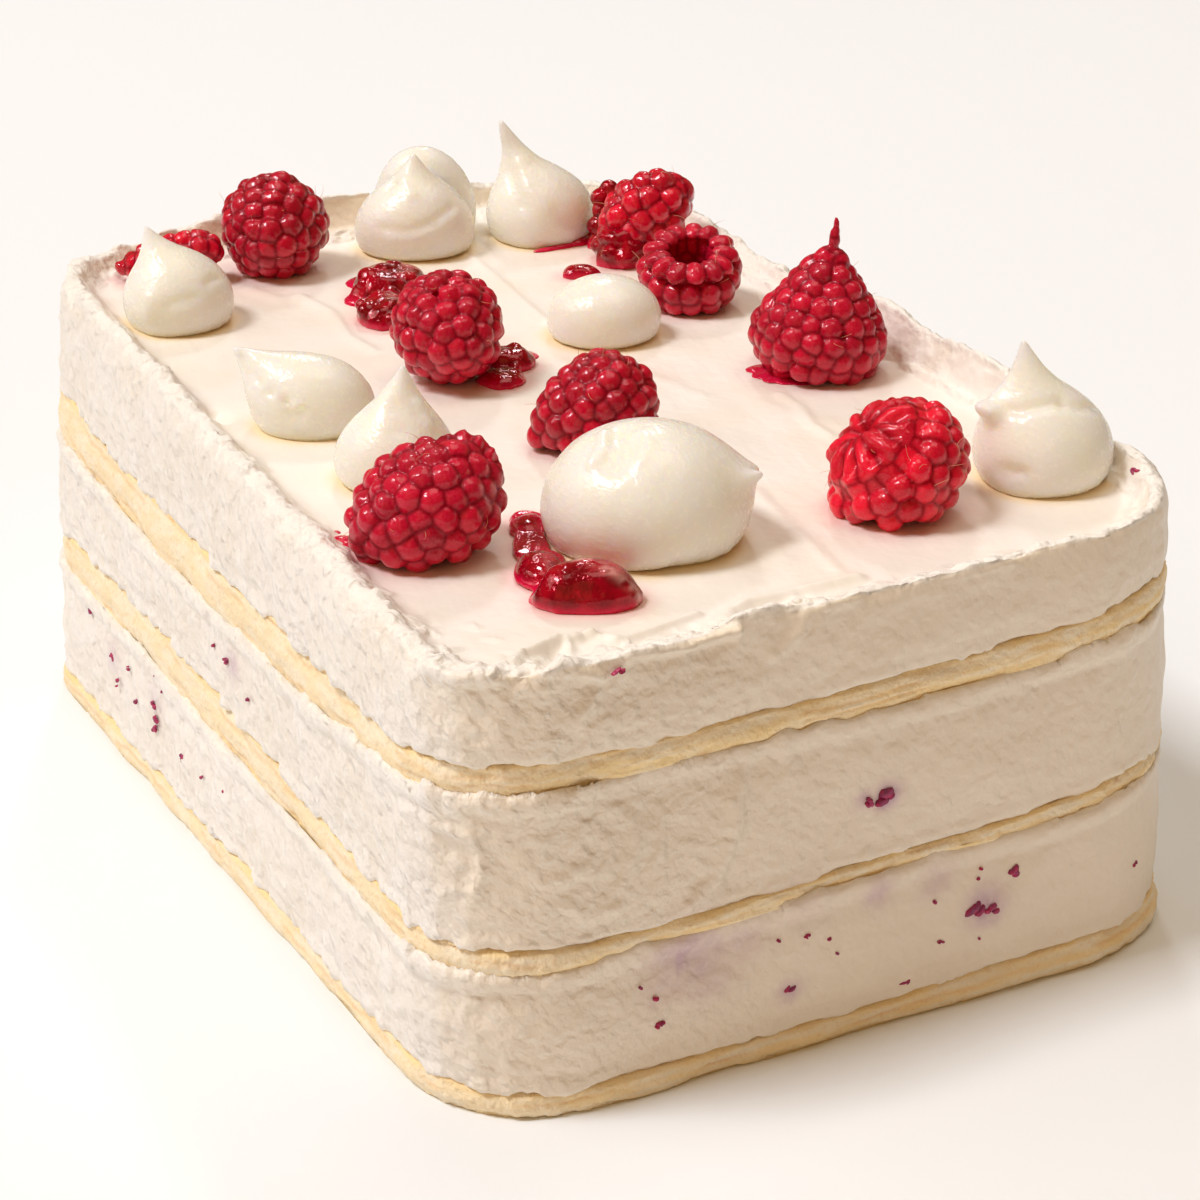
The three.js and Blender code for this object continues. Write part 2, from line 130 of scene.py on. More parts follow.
def put_lights():
    for name, settings in LIGHTS.items():
        area_light(name, *settings)
    world = bpy.data.worlds.new("studio")
    world.use_nodes = True
    background = world.node_tree.nodes["Background"]
    background.inputs["Color"].default_value = GLOW_COLOR
    background.inputs["Strength"].default_value = GLOW_STRENGTH
    bpy.context.scene.world = world


# ----- shader maths


class Wire:
    """A shader socket that can be reckoned with."""

    def __init__(self, paint, socket):
        self.paint = paint
        self.socket = socket

    def _math(self, operation, *terms):
        return self.paint.node("ShaderNodeMath", {"operation": operation}, terms)

    def __add__(self, other):
        return self._math("ADD", self, other)

    def __mul__(self, other):
        return self._math("MULTIPLY", self, other)

    def __rsub__(self, other):
        return self._math("SUBTRACT", other, self)

    __radd__ = __add__

    def eased(self, low, high):
        """0 below low, 1 above high, smooth between."""
        settings = {"interpolation_type": "SMOOTHSTEP"}
        return self.paint.node("ShaderNodeMapRange", settings, {0: self, 1: low, 2: high})


class Paint:
    """A material's node tree round one Principled shader."""

    def __init__(self, name, **constants):
        self.material = bpy.data.materials.new(name)
        self.material.use_nodes = True
        self.tree = self.material.node_tree
        self.shader = self.tree.nodes["Principled BSDF"]
        for socket, value in constants.items():
            self.shader.inputs[socket.replace("_", " ")].default_value = value
        self.place = self.node("ShaderNodeTexCoord", {}, {}, "Object")

    def node(self, kind, settings, values, output=0):
        made = self.tree.nodes.new(kind)
        for key, value in settings.items():
            setattr(made, key, value)
        pairs = values.items() if isinstance(values, dict) else enumerate(values)
        for key, value in pairs:
            self._feed(made.inputs[key], value)
        return Wire(self, made.outputs[output])

    def _feed(self, socket, value):
        if isinstance(value, Wire):
            self.tree.links.new(value.socket, socket)
        elif isinstance(value, tuple) and len(value) == 3 and socket.type == "RGBA":
            socket.default_value = (*value, 1)
        else:
            socket.default_value = value

    def noise(self, size, detail=2.0, rough=0.5, stretch=(1, 1, 1), seed=0.0, turn=(0, 0, 0)):
        """Cloudy values round 0.5; size is in metres, stretch lengthens the clouds."""
        scale = tuple(1 / (size * factor) for factor in stretch)
        values = {"Vector": self.place, "Rotation": turn}
        turned = self.node("ShaderNodeMapping", {}, values) if any(turn) else self.place
        values = {"Vector": turned, "Scale": scale, "Location": (seed, seed, seed)}
        spot = self.node("ShaderNodeMapping", {}, values)
        values = {"Vector": spot, "Scale": 1.0, "Detail": detail, "Roughness": rough}
        return self.node("ShaderNodeTexNoise", {}, values)

    def attribute(self, name):
        return self.node("ShaderNodeAttribute", {"attribute_name": name}, {}, "Fac")

    def mix(self, amount, one, other):
        settings = {"data_type": "RGBA", "clamp_factor": True}
        return self.node("ShaderNodeMix", settings, {0: amount, 6: one, 7: other}, 2)

    def tinted(self, color, **tints):
        """Mixes in colours, each where the attribute of its name says."""
        for name, tint in tints.items():
            color = self.mix(self.attribute(name), color, tint)
        return color

    def bump(self, height, distance):
        values = {"Height": height, "Distance": distance, "Strength": 1.0}
        return self.node("ShaderNodeBump", {}, values)

    def finish(self, **inputs):
        for socket, value in inputs.items():
            self._feed(self.shader.inputs[socket.replace("_", " ")], value)
        return self.material


# ----- finishes

CREAM_LIGHT = (0.91, 0.87, 0.82)
CREAM_WARM = (0.89, 0.835, 0.755)
# painted highlight for crests; the next two are painted shade, in hollows and on the sides facing
# the front
CREAM_CREST = (0.96, 0.94, 0.90)
CREAM_HOLLOW = (0.88, 0.79, 0.67)
CREAM_SHADE = (0.90, 0.79, 0.63)
# painted golden glow of light coming through the kisses
GOLD = (0.97, 0.79, 0.46)
JUICE = (0.84, 0.22, 0.27)
HAZE = (0.50, 0.28, 0.44)


def cream_finish():
    paint = Paint("cream", Specular_IOR_Level=0.45)
    crest = paint.attribute("crest")
    clouds = paint.noise(0.014, detail=1.0)
    color = paint.mix(clouds.eased(0.35, 0.7), CREAM_LIGHT, CREAM_WARM)
    # painted light of the relief: a painted highlight on the crests and painted shade in the
    # hollows
    color = paint.mix(crest.eased(0.5, 1.0) * 0.7, color, CREAM_CREST)
    color = paint.mix((1.0 - crest.eased(0.0, 0.4)) * 0.35, color, CREAM_HOLLOW)
    # painted shade on the sides facing the front, and a painted golden glow round the kisses; the
    # purple haze and the juice are the cream's own colour
    color = paint.tinted(color, warm=CREAM_SHADE, glow=GOLD, haze=HAZE, juice=JUICE)
    lean = (0.6, 0.55, 0.0)
    strokes = paint.noise(0.0012, stretch=(1, 1, 1.2), seed=9.0, turn=lean)
    pits = paint.noise(0.0021, detail=1.0, stretch=(1, 1, 1.5), seed=4.0, turn=lean)
    streaks = paint.noise(0.0035, stretch=(1, 7, 1), seed=2.0, turn=(0, 0, 0.25))
    smooth = paint.attribute("smooth")
    rough = 1.0 - smooth
    height = (strokes * 0.55 + pits.eased(0.3, 0.75) * 0.4) * rough + streaks * smooth * 0.2
    # painted highlights on the tops of the strokes where the cream is rough
    color = paint.mix(strokes.eased(0.54, 0.72) * rough * 0.3, color, CREAM_CREST)
    shine = 0.34 + pits * 0.2
    return paint.finish(Base_Color=color, Roughness=shine, Normal=paint.bump(height, 0.0009))


SPONGE_LIGHT = (0.985, 0.765, 0.41)
SPONGE_DEEP = (0.84, 0.47, 0.15)
SPONGE_PALE = (0.98, 0.87, 0.66)


def sponge_finish():
    paint = Paint("sponge", Roughness=0.8, Specular_IOR_Level=0.2)
    clouds = paint.noise(0.0026, detail=4.0, stretch=(2.2, 2.2, 0.8))
    crumb = paint.noise(0.0009, detail=3.0, seed=2.0)
    # paler in random patches and towards the cream above, and paler on the left side as painted
    # light
    pale = clouds.eased(0.4, 0.64) * 0.5 + paint.attribute("pale") * 0.6
    color = paint.mix(pale, SPONGE_LIGHT, SPONGE_PALE)
    color = paint.mix(crumb.eased(0.56, 0.74) * 0.3, color, SPONGE_DEEP)
    # painted shadow under the cream's overhang and in the split grooves
    color = paint.tinted(color, seam=SPONGE_DEEP)
    return paint.finish(Base_Color=color, Normal=paint.bump(crumb, 0.0004))


KISS_IVORY = (0.975, 0.945, 0.87)
KISS_WARM = (0.965, 0.925, 0.825)


def kiss_finish():
    paint = Paint(
        "kiss", Subsurface_Weight=0.8, Subsurface_Scale=0.007,
        Subsurface_Radius=(1.0, 0.8, 0.5), Specular_IOR_Level=0.45,
    )
    clouds = paint.noise(0.007)
    color = paint.mix(clouds.eased(0.35, 0.7), KISS_IVORY, KISS_WARM)
    # painted golden glow at the foot; the pink juice is a real stain
    color = paint.tinted(color, glow=GOLD, juice=JUICE)
    fine = paint.noise(0.0007, stretch=(1, 1.8, 1))
    shine = 0.14 + fine * 0.22
    return paint.finish(Base_Color=color, Roughness=shine, Normal=paint.bump(fine, 0.00013))


BERRY_LOOKS = {  # colours of a drupelet, of the painted shade in its clefts and of the powdery bloom; how wet it is
    "fresh": ((0.88, 0.003, 0.034), (0.29, 0.0, 0.006), (0.97, 0.10, 0.18), 0.15),
    "ripe": ((0.68, 0.002, 0.036), (0.22, 0.0, 0.008), (0.92, 0.09, 0.18), 0.1),
    "deep": ((0.62, 0.001, 0.030), (0.19, 0.0, 0.006), (0.86, 0.07, 0.14), 0.3),
    "wet": ((0.84, 0.002, 0.036), (0.24, 0.0, 0.008), (0.92, 0.08, 0.14), 0.9),
}


def berry_finish(look):
    flesh, deep, bloom, wet = BERRY_LOOKS[look]
    paint = Paint(
        "berry_" + look, Subsurface_Weight=0.18, Subsurface_Scale=0.0015,
        Subsurface_Radius=(1.0, 0.08, 0.08), Specular_IOR_Level=0.25,
        Specular_Tint=(1.0, 0.34, 0.44, 1), Sheen_Weight=0.05, Sheen_Roughness=0.4,
        Sheen_Tint=(1.0, 0.45, 0.6, 1), Coat_Roughness=0.12 - 0.09 * wet,
    )
    fuzz = paint.noise(0.0003, detail=3.0, rough=0.65, seed=6.0)
    cleft = paint.attribute("cleft")
    color = paint.tinted(flesh, tone=tuple(0.66 * part for part in flesh))
    color = paint.mix(fuzz.eased(0.42, 0.75) * (0.2 - 0.12 * wet), color, bloom)
    # painted shade in the clefts between the drupelets
    color = paint.mix(cleft, color, deep)
    shine = (0.3 - 0.17 * wet) + fuzz * 0.1
    film = (1.0 - cleft) * (0.6 + 0.35 * wet)
    return paint.finish(
        Base_Color=color, Roughness=shine, Coat_Weight=film, Normal=paint.bump(fuzz, 0.0001)
    )


JAM_RED = (0.42, 0.0, 0.014)
JAM_DARK = (0.17, 0.0, 0.005)
JAM_PULP = (0.55, 0.004, 0.025)
JAM_THIN = (0.74, 0.008, 0.07)
JAM_SMEAR = (0.80, 0.42, 0.38)  # cream stirred into the jam


def jam_finish():
    paint = Paint(
        "jam", Subsurface_Weight=0.15, Subsurface_Scale=0.002, Coat_Weight=0.45,
        Subsurface_Radius=(1.0, 0.04, 0.05), Coat_Roughness=0.02, Specular_IOR_Level=0.5,
        Specular_Tint=(1.0, 0.2, 0.25, 1),
    )
    clouds = paint.noise(0.0035)
    pulp = paint.noise(0.0011, seed=3.0)
    color = paint.mix(clouds.eased(0.35, 0.68), JAM_RED, JAM_DARK)
    color = paint.mix(pulp.eased(0.6, 0.74) * 0.5, color, JAM_PULP)
    color = paint.tinted(color, thin=JAM_THIN, smear=JAM_SMEAR)
    shine = 0.06 + clouds * 0.06
    return paint.finish(Base_Color=color, Roughness=shine, Normal=paint.bump(pulp, 0.0003))


def fleck_finish():
    paint = Paint("fleck", Subsurface_Weight=0.2, Subsurface_Scale=0.001)
    clouds = paint.noise(0.0009)
    color = paint.mix(clouds.eased(0.35, 0.7), (0.46, 0.02, 0.11), (0.24, 0.03, 0.11))
    return paint.finish(Base_Color=color, Roughness=0.3 + clouds * 0.3)


def hair_finish():
    paint = Paint("hair")
    clouds = paint.noise(0.002)
    color = paint.mix(clouds, (0.85, 0.52, 0.26), (0.66, 0.20, 0.14))
    return paint.finish(Base_Color=color, Roughness=0.4 + clouds * 0.2)


def floor_finish():
    paint = Paint("floor", Specular_IOR_Level=0.1)
    clouds = paint.noise(0.4, detail=1.0)
    color = paint.mix(clouds, (0.885, 0.93, 0.99), (0.90, 0.94, 0.995))
    return paint.finish(Base_Color=color, Roughness=0.8 + clouds * 0.05)


# ----- modelling helpers


def only(piece):
    """Leaves just this piece selected and active."""
    bpy.ops.object.select_all(action="DESELECT")
    piece.select_set(True)
    bpy.context.view_layer.objects.active = piece


def soften(piece, passes, factor=0.5):
    apply(piece, "SMOOTH", factor=factor, iterations=passes)


def reskin(piece, grain):
    """Makes one even closed skin; grain is in mm."""
    apply(piece, "REMESH", mode="VOXEL", voxel_size=grain * MM)


def apply(piece, kind, **settings):
    only(piece)
    modifier = piece.modifiers.new(kind.title(), kind)
    for key, value in settings.items():
        setattr(modifier, key, value)
    bpy.ops.object.modifier_apply(modifier=modifier.name)


def triples(parts, key):
    """One value of three numbers from each vertex or face, as rows."""
    flat = np.zeros(3 * len(parts), np.float32)
    parts.foreach_get(key, flat)
    return flat.reshape(-1, 3).astype(float)


def points(piece):
    return triples(piece.data.vertices, "co")


def normals(piece):
    return triples(piece.data.vertices, "normal")


def face_middles(piece):
    return triples(piece.data.polygons, "center")


def choose_faces(piece, chosen):
    """Goes into edit mode with just the chosen faces selected."""
    only(piece)
    mesh = piece.data
    for part in (mesh.vertices, mesh.edges):
        part.foreach_set("select", np.zeros(len(part), bool))
    mesh.polygons.foreach_set("select", chosen)
    bpy.ops.object.mode_set(mode="EDIT")
    bpy.ops.mesh.select_mode(type="FACE")


def refine(piece, chosen):
    """Splits the chosen faces in four."""
    choose_faces(piece, chosen)
    bpy.ops.mesh.subdivide(number_cuts=1, ngon=False, quadcorner="INNERVERT")
    bpy.ops.object.mode_set(mode="OBJECT")


def join(piece, others):
    only(piece)
    for one in others:
        one.select_set(True)
    bpy.ops.object.join()


def copy_of(mesh, name, move):
    """A new piece with its own copy of a mesh, moved by a matrix."""
    piece = bpy.data.objects.new(name, mesh.copy())
    bpy.context.scene.collection.objects.link(piece)
    piece.data.transform(move)
    return piece


def welded_copy(node, name):
    """A copy of a node's mesh with its loose triangles joined."""
    piece = copy_of(nodes[node].data, name, Matrix())
    piece.data.materials.clear()
    only(piece)
    bpy.ops.object.mode_set(mode="EDIT")
    bpy.ops.mesh.select_all(action="SELECT")
    bpy.ops.mesh.remove_doubles(threshold=1e-6)
    bpy.ops.object.mode_set(mode="OBJECT")
    return piece


def level_way(angle):
    return Vector((math.cos(angle), math.sin(angle), 0))


def facing(way):
    """The turn that lays the third axis along a way."""
    return way.to_track_quat("Z", "Y").to_matrix().to_4x4()


def fused(piece, extras, grain, passes):
    """Makes one skin of a piece and some lumps; grain is in mm."""
    join(piece, extras)
    reskin(piece, grain)
    soften(piece, passes)


def push(piece, heights, direction="NORMAL"):
    """Moves each point of a piece outwards by its height, inwards where that is below zero."""
    heights = np.broadcast_to(heights, len(piece.data.vertices))
    for sign in (1, -1):
        amounts = np.clip(sign * heights, 0, None)
        most = float(amounts.max())
        if most < 1e-7:
            continue
        group = piece.vertex_groups.new(name="push")
        levels = np.round(amounts / most * 255).astype(int)
        order = np.argsort(levels, kind="stable")
        starts = np.searchsorted(levels[order], np.arange(257))
        for level in range(1, 256):
            chosen = order[starts[level]:starts[level + 1]]
            if len(chosen):
                group.add(chosen.tolist(), level / 255, "REPLACE")
        settings = {"vertex_group": "push", "direction": direction, "mid_level": 0.0}
        apply(piece, "DISPLACE", strength=sign * most, **settings)
        piece.vertex_groups.remove(piece.vertex_groups["push"])


def record_values(piece, **layers):
    """Values at each point that the finishes read."""
    for name, values in layers.items():
        layer = piece.data.attributes.new(name, "FLOAT", "POINT")
        layer.data.foreach_set("value", np.asarray(values, np.float32))


def dress(piece, finish, node=None):
    """Gives a finished piece its material and its body, and hides the node that it stands for."""
    piece.data.materials.clear()
    piece.data.materials.append(finish)
    only(piece)
    bpy.ops.object.shade_smooth()
    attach(piece, "root")
    if node is not None:
        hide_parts(node)


def eased(values, low, high):
    share = np.clip((np.asarray(values) - low) / (high - low), 0, 1)
    return share * share * (3 - 2 * share)


def nearest(spots, tree, limit):
    """How far each spot is from a tree's faces, at most limit, and how far up the way goes."""
    gap, climb = np.full(len(spots), limit), np.zeros(len(spots))
    for index, spot in enumerate(spots):
        place, _, _, far = tree.find_nearest(spot, limit)
        if place is not None:
            gap[index], climb[index] = far, place.z - spot[2]
    return gap, climb


def line_distance(spots, path):
    """How far each spot is from a line through some places."""
    best = np.full(len(spots), np.inf)
    for start, end in zip(path, path[1:]):
        a, b = np.array(start), np.array(end)
        span = b - a
        share = np.clip(((spots - a) @ span) / max(span @ span, 1e-12), 0, 1)
        best = np.minimum(best, np.linalg.norm(spots - a - share[:, None] * span, axis=1))
    return best


def clouds(spots, size, seed, stretch=(1, 1, 1), octaves=1):
    """Cloudy values from 0 to 1 at some spots, of a size in mm; each seed is its own pattern."""
    table = np.random.default_rng(seed).random(4096)
    total, whole = np.zeros(len(spots)), 0.0
    for octave in range(octaves):
        place = spots / (size * MM * np.array(stretch)) * 2**octave + 40.7 + 17.3 * octave
        base = np.floor(place).astype(np.int64)
        share = place - base
        share = share * share * (3 - 2 * share)
        for corner in range(8):
            step = np.array([corner & 1, corner >> 1 & 1, corner >> 2])
            cell = (base + step) * np.array([73856093, 19349663, 83492791])
            key = (cell[:, 0] ^ cell[:, 1] ^ cell[:, 2]) & 4095
            part = np.prod(np.where(step, share, 1 - share), axis=1)
            total += table[key] * part / 2**octave
        whole += 1 / 2**octave
    return total / whole


# ----- cream and sponge

BLOCK_LENGTH = 183 * MM
HALF_SIZES = np.array((61, 91)) * MM  # half the block's width and length
CORNER = 20 * MM  # radius of its upright edges
FLOOR_MIDDLE = 67.7 * MM  # height of the smooth floor halfway along
TILT = 8.6 * MM  # rise of that floor from end to end
STROKE = np.array(((0.81, 0.0, -0.58), (0.23, 0.92, 0.32), (0.54, -0.39, 0.75)))
STROKE_OF = STROKE.T  # turns spots so that the third axis runs along the strokes

CREAMS, SPONGES, KISSES, JAMS = (
    tuple(name for name in nodes if name.startswith(kind))
    for kind in ("cream", "sponge", "kiss", "jam")
)


def floor_height(y):
    return FLOOR_MIDDLE + TILT * y / BLOCK_LENGTH


def rise_of(spots):
    """How high spots lie over the smooth floor."""
    return spots[:, 2] - floor_height(spots[:, 1])


def inset_of(spots):
    """How far inside the block's outline spots lie, about."""
    reach = np.abs(spots[:, :2]) - (HALF_SIZES - CORNER)
    out = np.hypot(*np.clip(reach, 0, None).T) + np.minimum(reach.max(axis=1), 0)
    return CORNER - out


def outer(normal):
    """1 on the block's sides, 0 on its hidden inner faces and on its top."""
    return eased(1 - np.abs(normal[:, 2]), 0.15, 0.5)


def near_outside(piece, node):
    """The faces within a few millimetres of the block's sides."""
    _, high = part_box(node)
    flat = np.abs(face_middles(piece)[:, :2])
    straight = (flat > np.array(high[:2]) - 4.5 * MM).any(axis=1)
    bend = np.clip(flat - (HALF_SIZES - CORNER - 7 * MM), 0, None)
    return straight | (np.hypot(*bend.T) > CORNER)


def path_of(pixels, names):
    """Places on some nodes along a line of pixels."""
    found = [seen(px, py, names) for px, py in pixels]
    return [np.array(entry[0]) for entry in found if entry is not None]


def marked(spots, marks, names):
    """Heights of ridges, and of furrows where they are below zero, along lines of pixels."""
    height = np.zeros(len(spots))
    for width, rise, *pixels in marks:
        path = path_of(pixels, names)
        if len(path) > 1:
            far = line_distance(spots, path) / (width * MM)
            height += rise * MM * np.exp(-far * far)
    return height


def scraped(spots, left):
    """Relief of scraped cream on a side: broad swells, and plates and chips lying along it; also
    painted light for it, lighter on the raised parts and darker in the low ones.
    """
    left = np.maximum(left, 0.4 * (1 - eased(spots[:, 0], -52 * MM, -25 * MM)))
    broad = clouds(spots, 9, 2, (1.5, 1.5, 1.0), 2) - 0.5
    plates = eased(clouds(spots, 2.0, 3, (2.6, 2.6, 1.0), 2), 0.5, 0.68) * left
    chips = eased(clouds(spots, 1.1, 4, (1.7, 1.7, 1.0), 2), 0.54, 0.72) * left
    strokes = clouds(spots @ STROKE_OF, 2.2, 5, (1, 1, 1.9), 2) - 0.5
    height = 1.1 * broad + 0.24 * plates + 0.2 * chips + (0.28 + 0.35 * left) * strokes
    return height * MM, np.clip(0.5 + 0.25 * plates + 0.25 * chips + 0.7 * strokes, 0, 1)


def hemmed(piece, side, left):
    """Drags the cream's edges out and over the sponge in ragged tongues; gives a painted highlight
    on the tongues, stronger on the left side.
    """
    spots = points(piece)
    gap, climb = nearest(spots, faces_of(SPONGES), 3.6 * MM)
    hem = (1 - eased(gap, 0.9 * MM, 2.9 * MM)) * side
    tongue = eased(clouds(spots, 2.1, 6, (1.7, 1.7, 1.0), 3), 0.36, 0.68)
    fringe = clouds(spots, 0.8, 7, (1.3, 1.3, 1.0), 2)
    out = 0.3 + (0.15 + 0.45 * left) * tongue + 0.5 * left * (fringe - 0.4)
    push(piece, hem * out * MM)
    lap = eased(clouds(spots, 7, 14, octaves=3), 0.42, 0.62)
    under = 0.55 * (climb > 0)
    push(piece, hem * under * MM)
    reach = 0.1 + under + (0.9 - 0.4 * left) * lap * tongue + 0.25 * left * tongue
    push(piece, hem**2 * np.sign(climb) * reach * MM, "Z")
    # painted highlight on the tongues, stronger on the left side where the light falls
    return hem * (0.3 + 0.7 * left) * (0.35 + 0.65 * tongue)


MARKS = {  # by layer: half width and height in mm of a ridge or furrow, pixels along it
    "cream_middle": (
        (1.3, 0.9, (745, 742), (737, 800), (733, 842), (716, 880), (690, 904)),
        (2.2, -0.35, (757, 742), (748, 800), (744, 842), (728, 880)),
        (1.0, 0.4, (790, 724), (786, 750), (790, 775)),
        (0.8, 0.7, (430, 823), (445, 828), (470, 833), (480, 850), (482, 875), (474, 893)),
        (1.2, -0.4, (440, 838), (458, 850), (466, 866), (463, 885)),
        (0.8, 0.6, (405, 810), (430, 815), (455, 812), (470, 818)),
        (0.8, 0.6, (440, 797), (455, 803), (475, 800), (500, 806)),
        (1.0, 0.35, (520, 862), (540, 885), (560, 880), (590, 868)),
        (0.9, 0.45, (610, 805), (632, 822), (636, 850), (625, 880)),
        (0.8, 0.5, (560, 905), (590, 915), (620, 908)),
    ),
    "cream_lower": (
        (1.0, 0.3, (600, 960), (640, 955), (690, 940)),
        (0.8, 0.25, (880, 985), (960, 960), (1040, 935)),
        (1.0, 0.4, (420, 945), (450, 965), (500, 975)),
    ),
    "cream_top": (
        (0.9, 1.5, (430, 670), (459, 679), (494, 677), (521, 661), (557, 644)),
        (1.0, -0.8, (521, 681), (540, 667), (555, 655)),
        (0.6, 0.7, (566, 641), (570, 650), (560, 662)), (0.9, 1.1, (575, 641), (577, 640)),
        (0.9, 1.2, (589, 636), (591, 636)), (0.9, 1.0, (607, 640), (612, 641)),
        (0.9, 0.7, (598, 652), (601, 652)), (0.7, 0.7, (530, 677), (566, 669), (603, 677)),
        (0.75, 1.5, (630, 656), (657, 652), (687, 647), (725, 634), (737, 631)),
        (1.1, -0.4, (640, 664), (687, 655), (725, 644)),
        (0.6, 0.7, (619, 643), (646, 634), (698, 615)),
        (1.1, -0.4, (650, 643), (690, 630), (720, 624)),
        (1.1, 0.8, (721, 620), (748, 602), (785, 595), (857, 579)),
        (1.0, 0.7, (737, 620), (766, 613), (798, 600), (828, 604), (860, 597)),
        (1.0, -0.4, (740, 612), (770, 604), (800, 596)),
        (0.9, 0.3, (807, 609), (803, 631), (790, 645), (775, 656)),
        (0.9, 0.5, (594, 695), (586, 707), (578, 720)),
        (1.1, 0.5, (470, 256), (500, 283), (545, 322)),
        (1.0, 0.25, (755, 490), (800, 535), (845, 577)),
        (0.9, 0.4, (780, 395), (800, 408), (812, 425), (830, 436)),
        (1.0, 0.5, (300, 298), (330, 312), (350, 338), (372, 350)),
        (1.4, 0.4, (250, 290), (280, 300), (300, 298)),
        (1.6, 0.2, (600, 350), (640, 372), (700, 395)), (0.5, 0.5, (470, 625), (476, 628)),
        (0.4, 0.4, (485, 639), (497, 640)), (0.8, 0.5, (905, 590), (960, 575), (1010, 560)),
        (1.2, -1.6, (215, 413), (222, 420)),
    ),
}


def fine_skin(piece, node):
    """Splits the faces where relief will show: the sides, and the top layer's rim and marks."""
    if node != "cream_top":
        refine(piece, near_outside(piece, node))
        return
    middles = face_middles(piece)
    hidden = middles[:, 2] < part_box(node)[0].z + 1.5 * MM
    refine(piece, inset_of(middles) < np.where(hidden, 4, 11) * MM)
    broad_marks = [(2.2, 1, *pixels) for _, _, *pixels in MARKS[node]]
    refine(piece, marked(face_middles(piece), broad_marks, (node,)) > 0.3 * MM)


def cream_layer(node, finish):
    piece = welded_copy(node, node.replace("cream", "whipped"))
    grain = 1.22 if node == "cream_top" else 1.12
    reskin(piece, grain)
    fine_skin(piece, node)
    soften(piece, 3)
    normal = normals(piece)
    side = outer(normal)
    left = eased(-normal[:, 0], -0.15, 0.9)
    white = hemmed(piece, eased(1 - np.abs(normal[:, 2]), 0.01, 0.2), left)
    spots = points(piece)
    height, crest = scraped(spots, left)
    height *= side
    floor = np.zeros(len(spots))
    if node == "cream_top":
        rise = rise_of(spots)
        rim = eased(rise, 0.3 * MM, 2.4 * MM) * (1 - side)
        left = eased(-spots[:, 0], 34 * MM, 52 * MM)
        clods = clouds(spots @ STROKE_OF, 3.4, 8, (1, 1, 1.6), 3) - 0.5
        crags = eased(clouds(spots, 2.1, 9, octaves=2), 0.46, 0.7)
        height += rim * (2.3 * clods + (0.25 + 0.45 * left) * crags) * MM
        # painted highlight on the rim and its crags
        crest = np.clip(crest + rim * (0.45 + 0.5 * crags), 0, 1)
        floor = (1 - eased(rise, 0.2 * MM, 1.2 * MM)) * eased(normal[:, 2], 0.4, 0.8)
        height += floor * 0.35 * (clouds(spots, 9, 10, octaves=2) - 0.5) * MM
        fringe = 1 - eased(inset_of(spots), 5.5 * MM, (9 + 2 * left) * MM)
        patches = clouds(spots, 3.2, 13, octaves=3) + 0.2 * fringe
        patches = eased(patches, 0.56, 0.64) * floor * fringe
        height += patches * (0.55 + 0.5 * crags) * MM
        floor *= 1 - 0.8 * patches
    marks = marked(spots, MARKS[node], (node,))
    # painted highlight on the ridges, painted shade in the furrows
    crest = np.clip(crest + 0.5 * marks / MM, 0, 1)
    push(piece, height + marks)
    soften(piece, 1)
    spots = points(piece)
    calm = (0.4 * eased(spots[:, 0], -45 * MM, 0) + 0.2 * (1 - left)) * side
    calm += 0.15 * (node == "cream_lower")
    # painted light of the relief: lighter on crests and hem tongues, halfway on the smooth floor
    record_values(
        piece, crest=np.clip(crest * (1 - floor) + 0.45 * floor + 0.6 * white, 0, 1),
        smooth=np.clip(0.9 * floor + calm, 0, 0.95), haze=haze(spots) * side,
        # painted shade on the sides that face the front, away from the lights
        warm=0.85 * side * eased(-normal[:, 1], 0.2, 0.9))
    # the juice's real pink stain, and a painted golden glow round the kisses
    stain, glow = np.zeros(len(spots)), np.zeros(len(spots))
    top = floor > 0.5
    if top.any():
        stain[top], glow[top] = floor_tints(spots[top])
        stain *= 0.4 + 0.9 * clouds(spots, 2.5, 11, octaves=2)
    record_values(piece, juice=stain, glow=glow)
    dress(piece, finish, node)


def floor_tints(spots):
    """Pink of the juice, and a painted golden glow round the kisses, on the smooth floor."""
    near_kiss, _ = nearest(spots, faces_of(KISSES), 3 * MM)
    near_fruit, _ = nearest(spots, faces_of(JAMS + tuple(BERRIES)), 4 * MM)
    spread = blurs(spots[:, :2], JUICES, ("cream_top",), 1.8)
    stain = np.maximum(0.55 * spread, 0.35 * (1 - eased(near_fruit, 0, 3.5 * MM)))
    return stain, 0.75 * (1 - eased(near_kiss, 0.2 * MM, 2.6 * MM))


HAZES = (  # pixel, reach in mm, strength
    (690, 955, 7, 0.42), (705, 975, 6, 0.25), (745, 940, 5, 0.2), (877, 890, 3.2, 0.35),
    (985, 905, 3.8, 0.6), (935, 880, 4, 0.2), (800, 900, 6, 0.12), (660, 990, 5, 0.14),
    (114, 657, 3.5, 0.3), (232, 665, 3, 0.3), (155, 700, 4, 0.2), (888, 795, 2.6, 0.7),
    (865, 800, 2.0, 0.4), (790, 989, 2.4, 0.4), (1040, 660, 1.6, 0.4),
)


def blurs(spots, entries, names, fall):
    """The strongest of some soft round patches at each spot, over the spots' own axes."""
    amount = np.zeros(len(spots))
    for px, py, reach, strength in entries:
        found = seen(px, py, names)
        if found is not None:
            middle = np.array(found[0])[:spots.shape[1]]
            far = np.linalg.norm(spots - middle, axis=1) / (reach * MM)
            amount = np.maximum(amount, strength * np.exp(-far * far * fall))
    return amount


def haze(spots):
    """Faint purple round the fruit that shows in the cream."""
    patchy = 0.5 + 1.6 * clouds(spots, 1.5, 12, octaves=2)
    return blurs(spots, HAZES, CREAMS, 1.6) * patchy


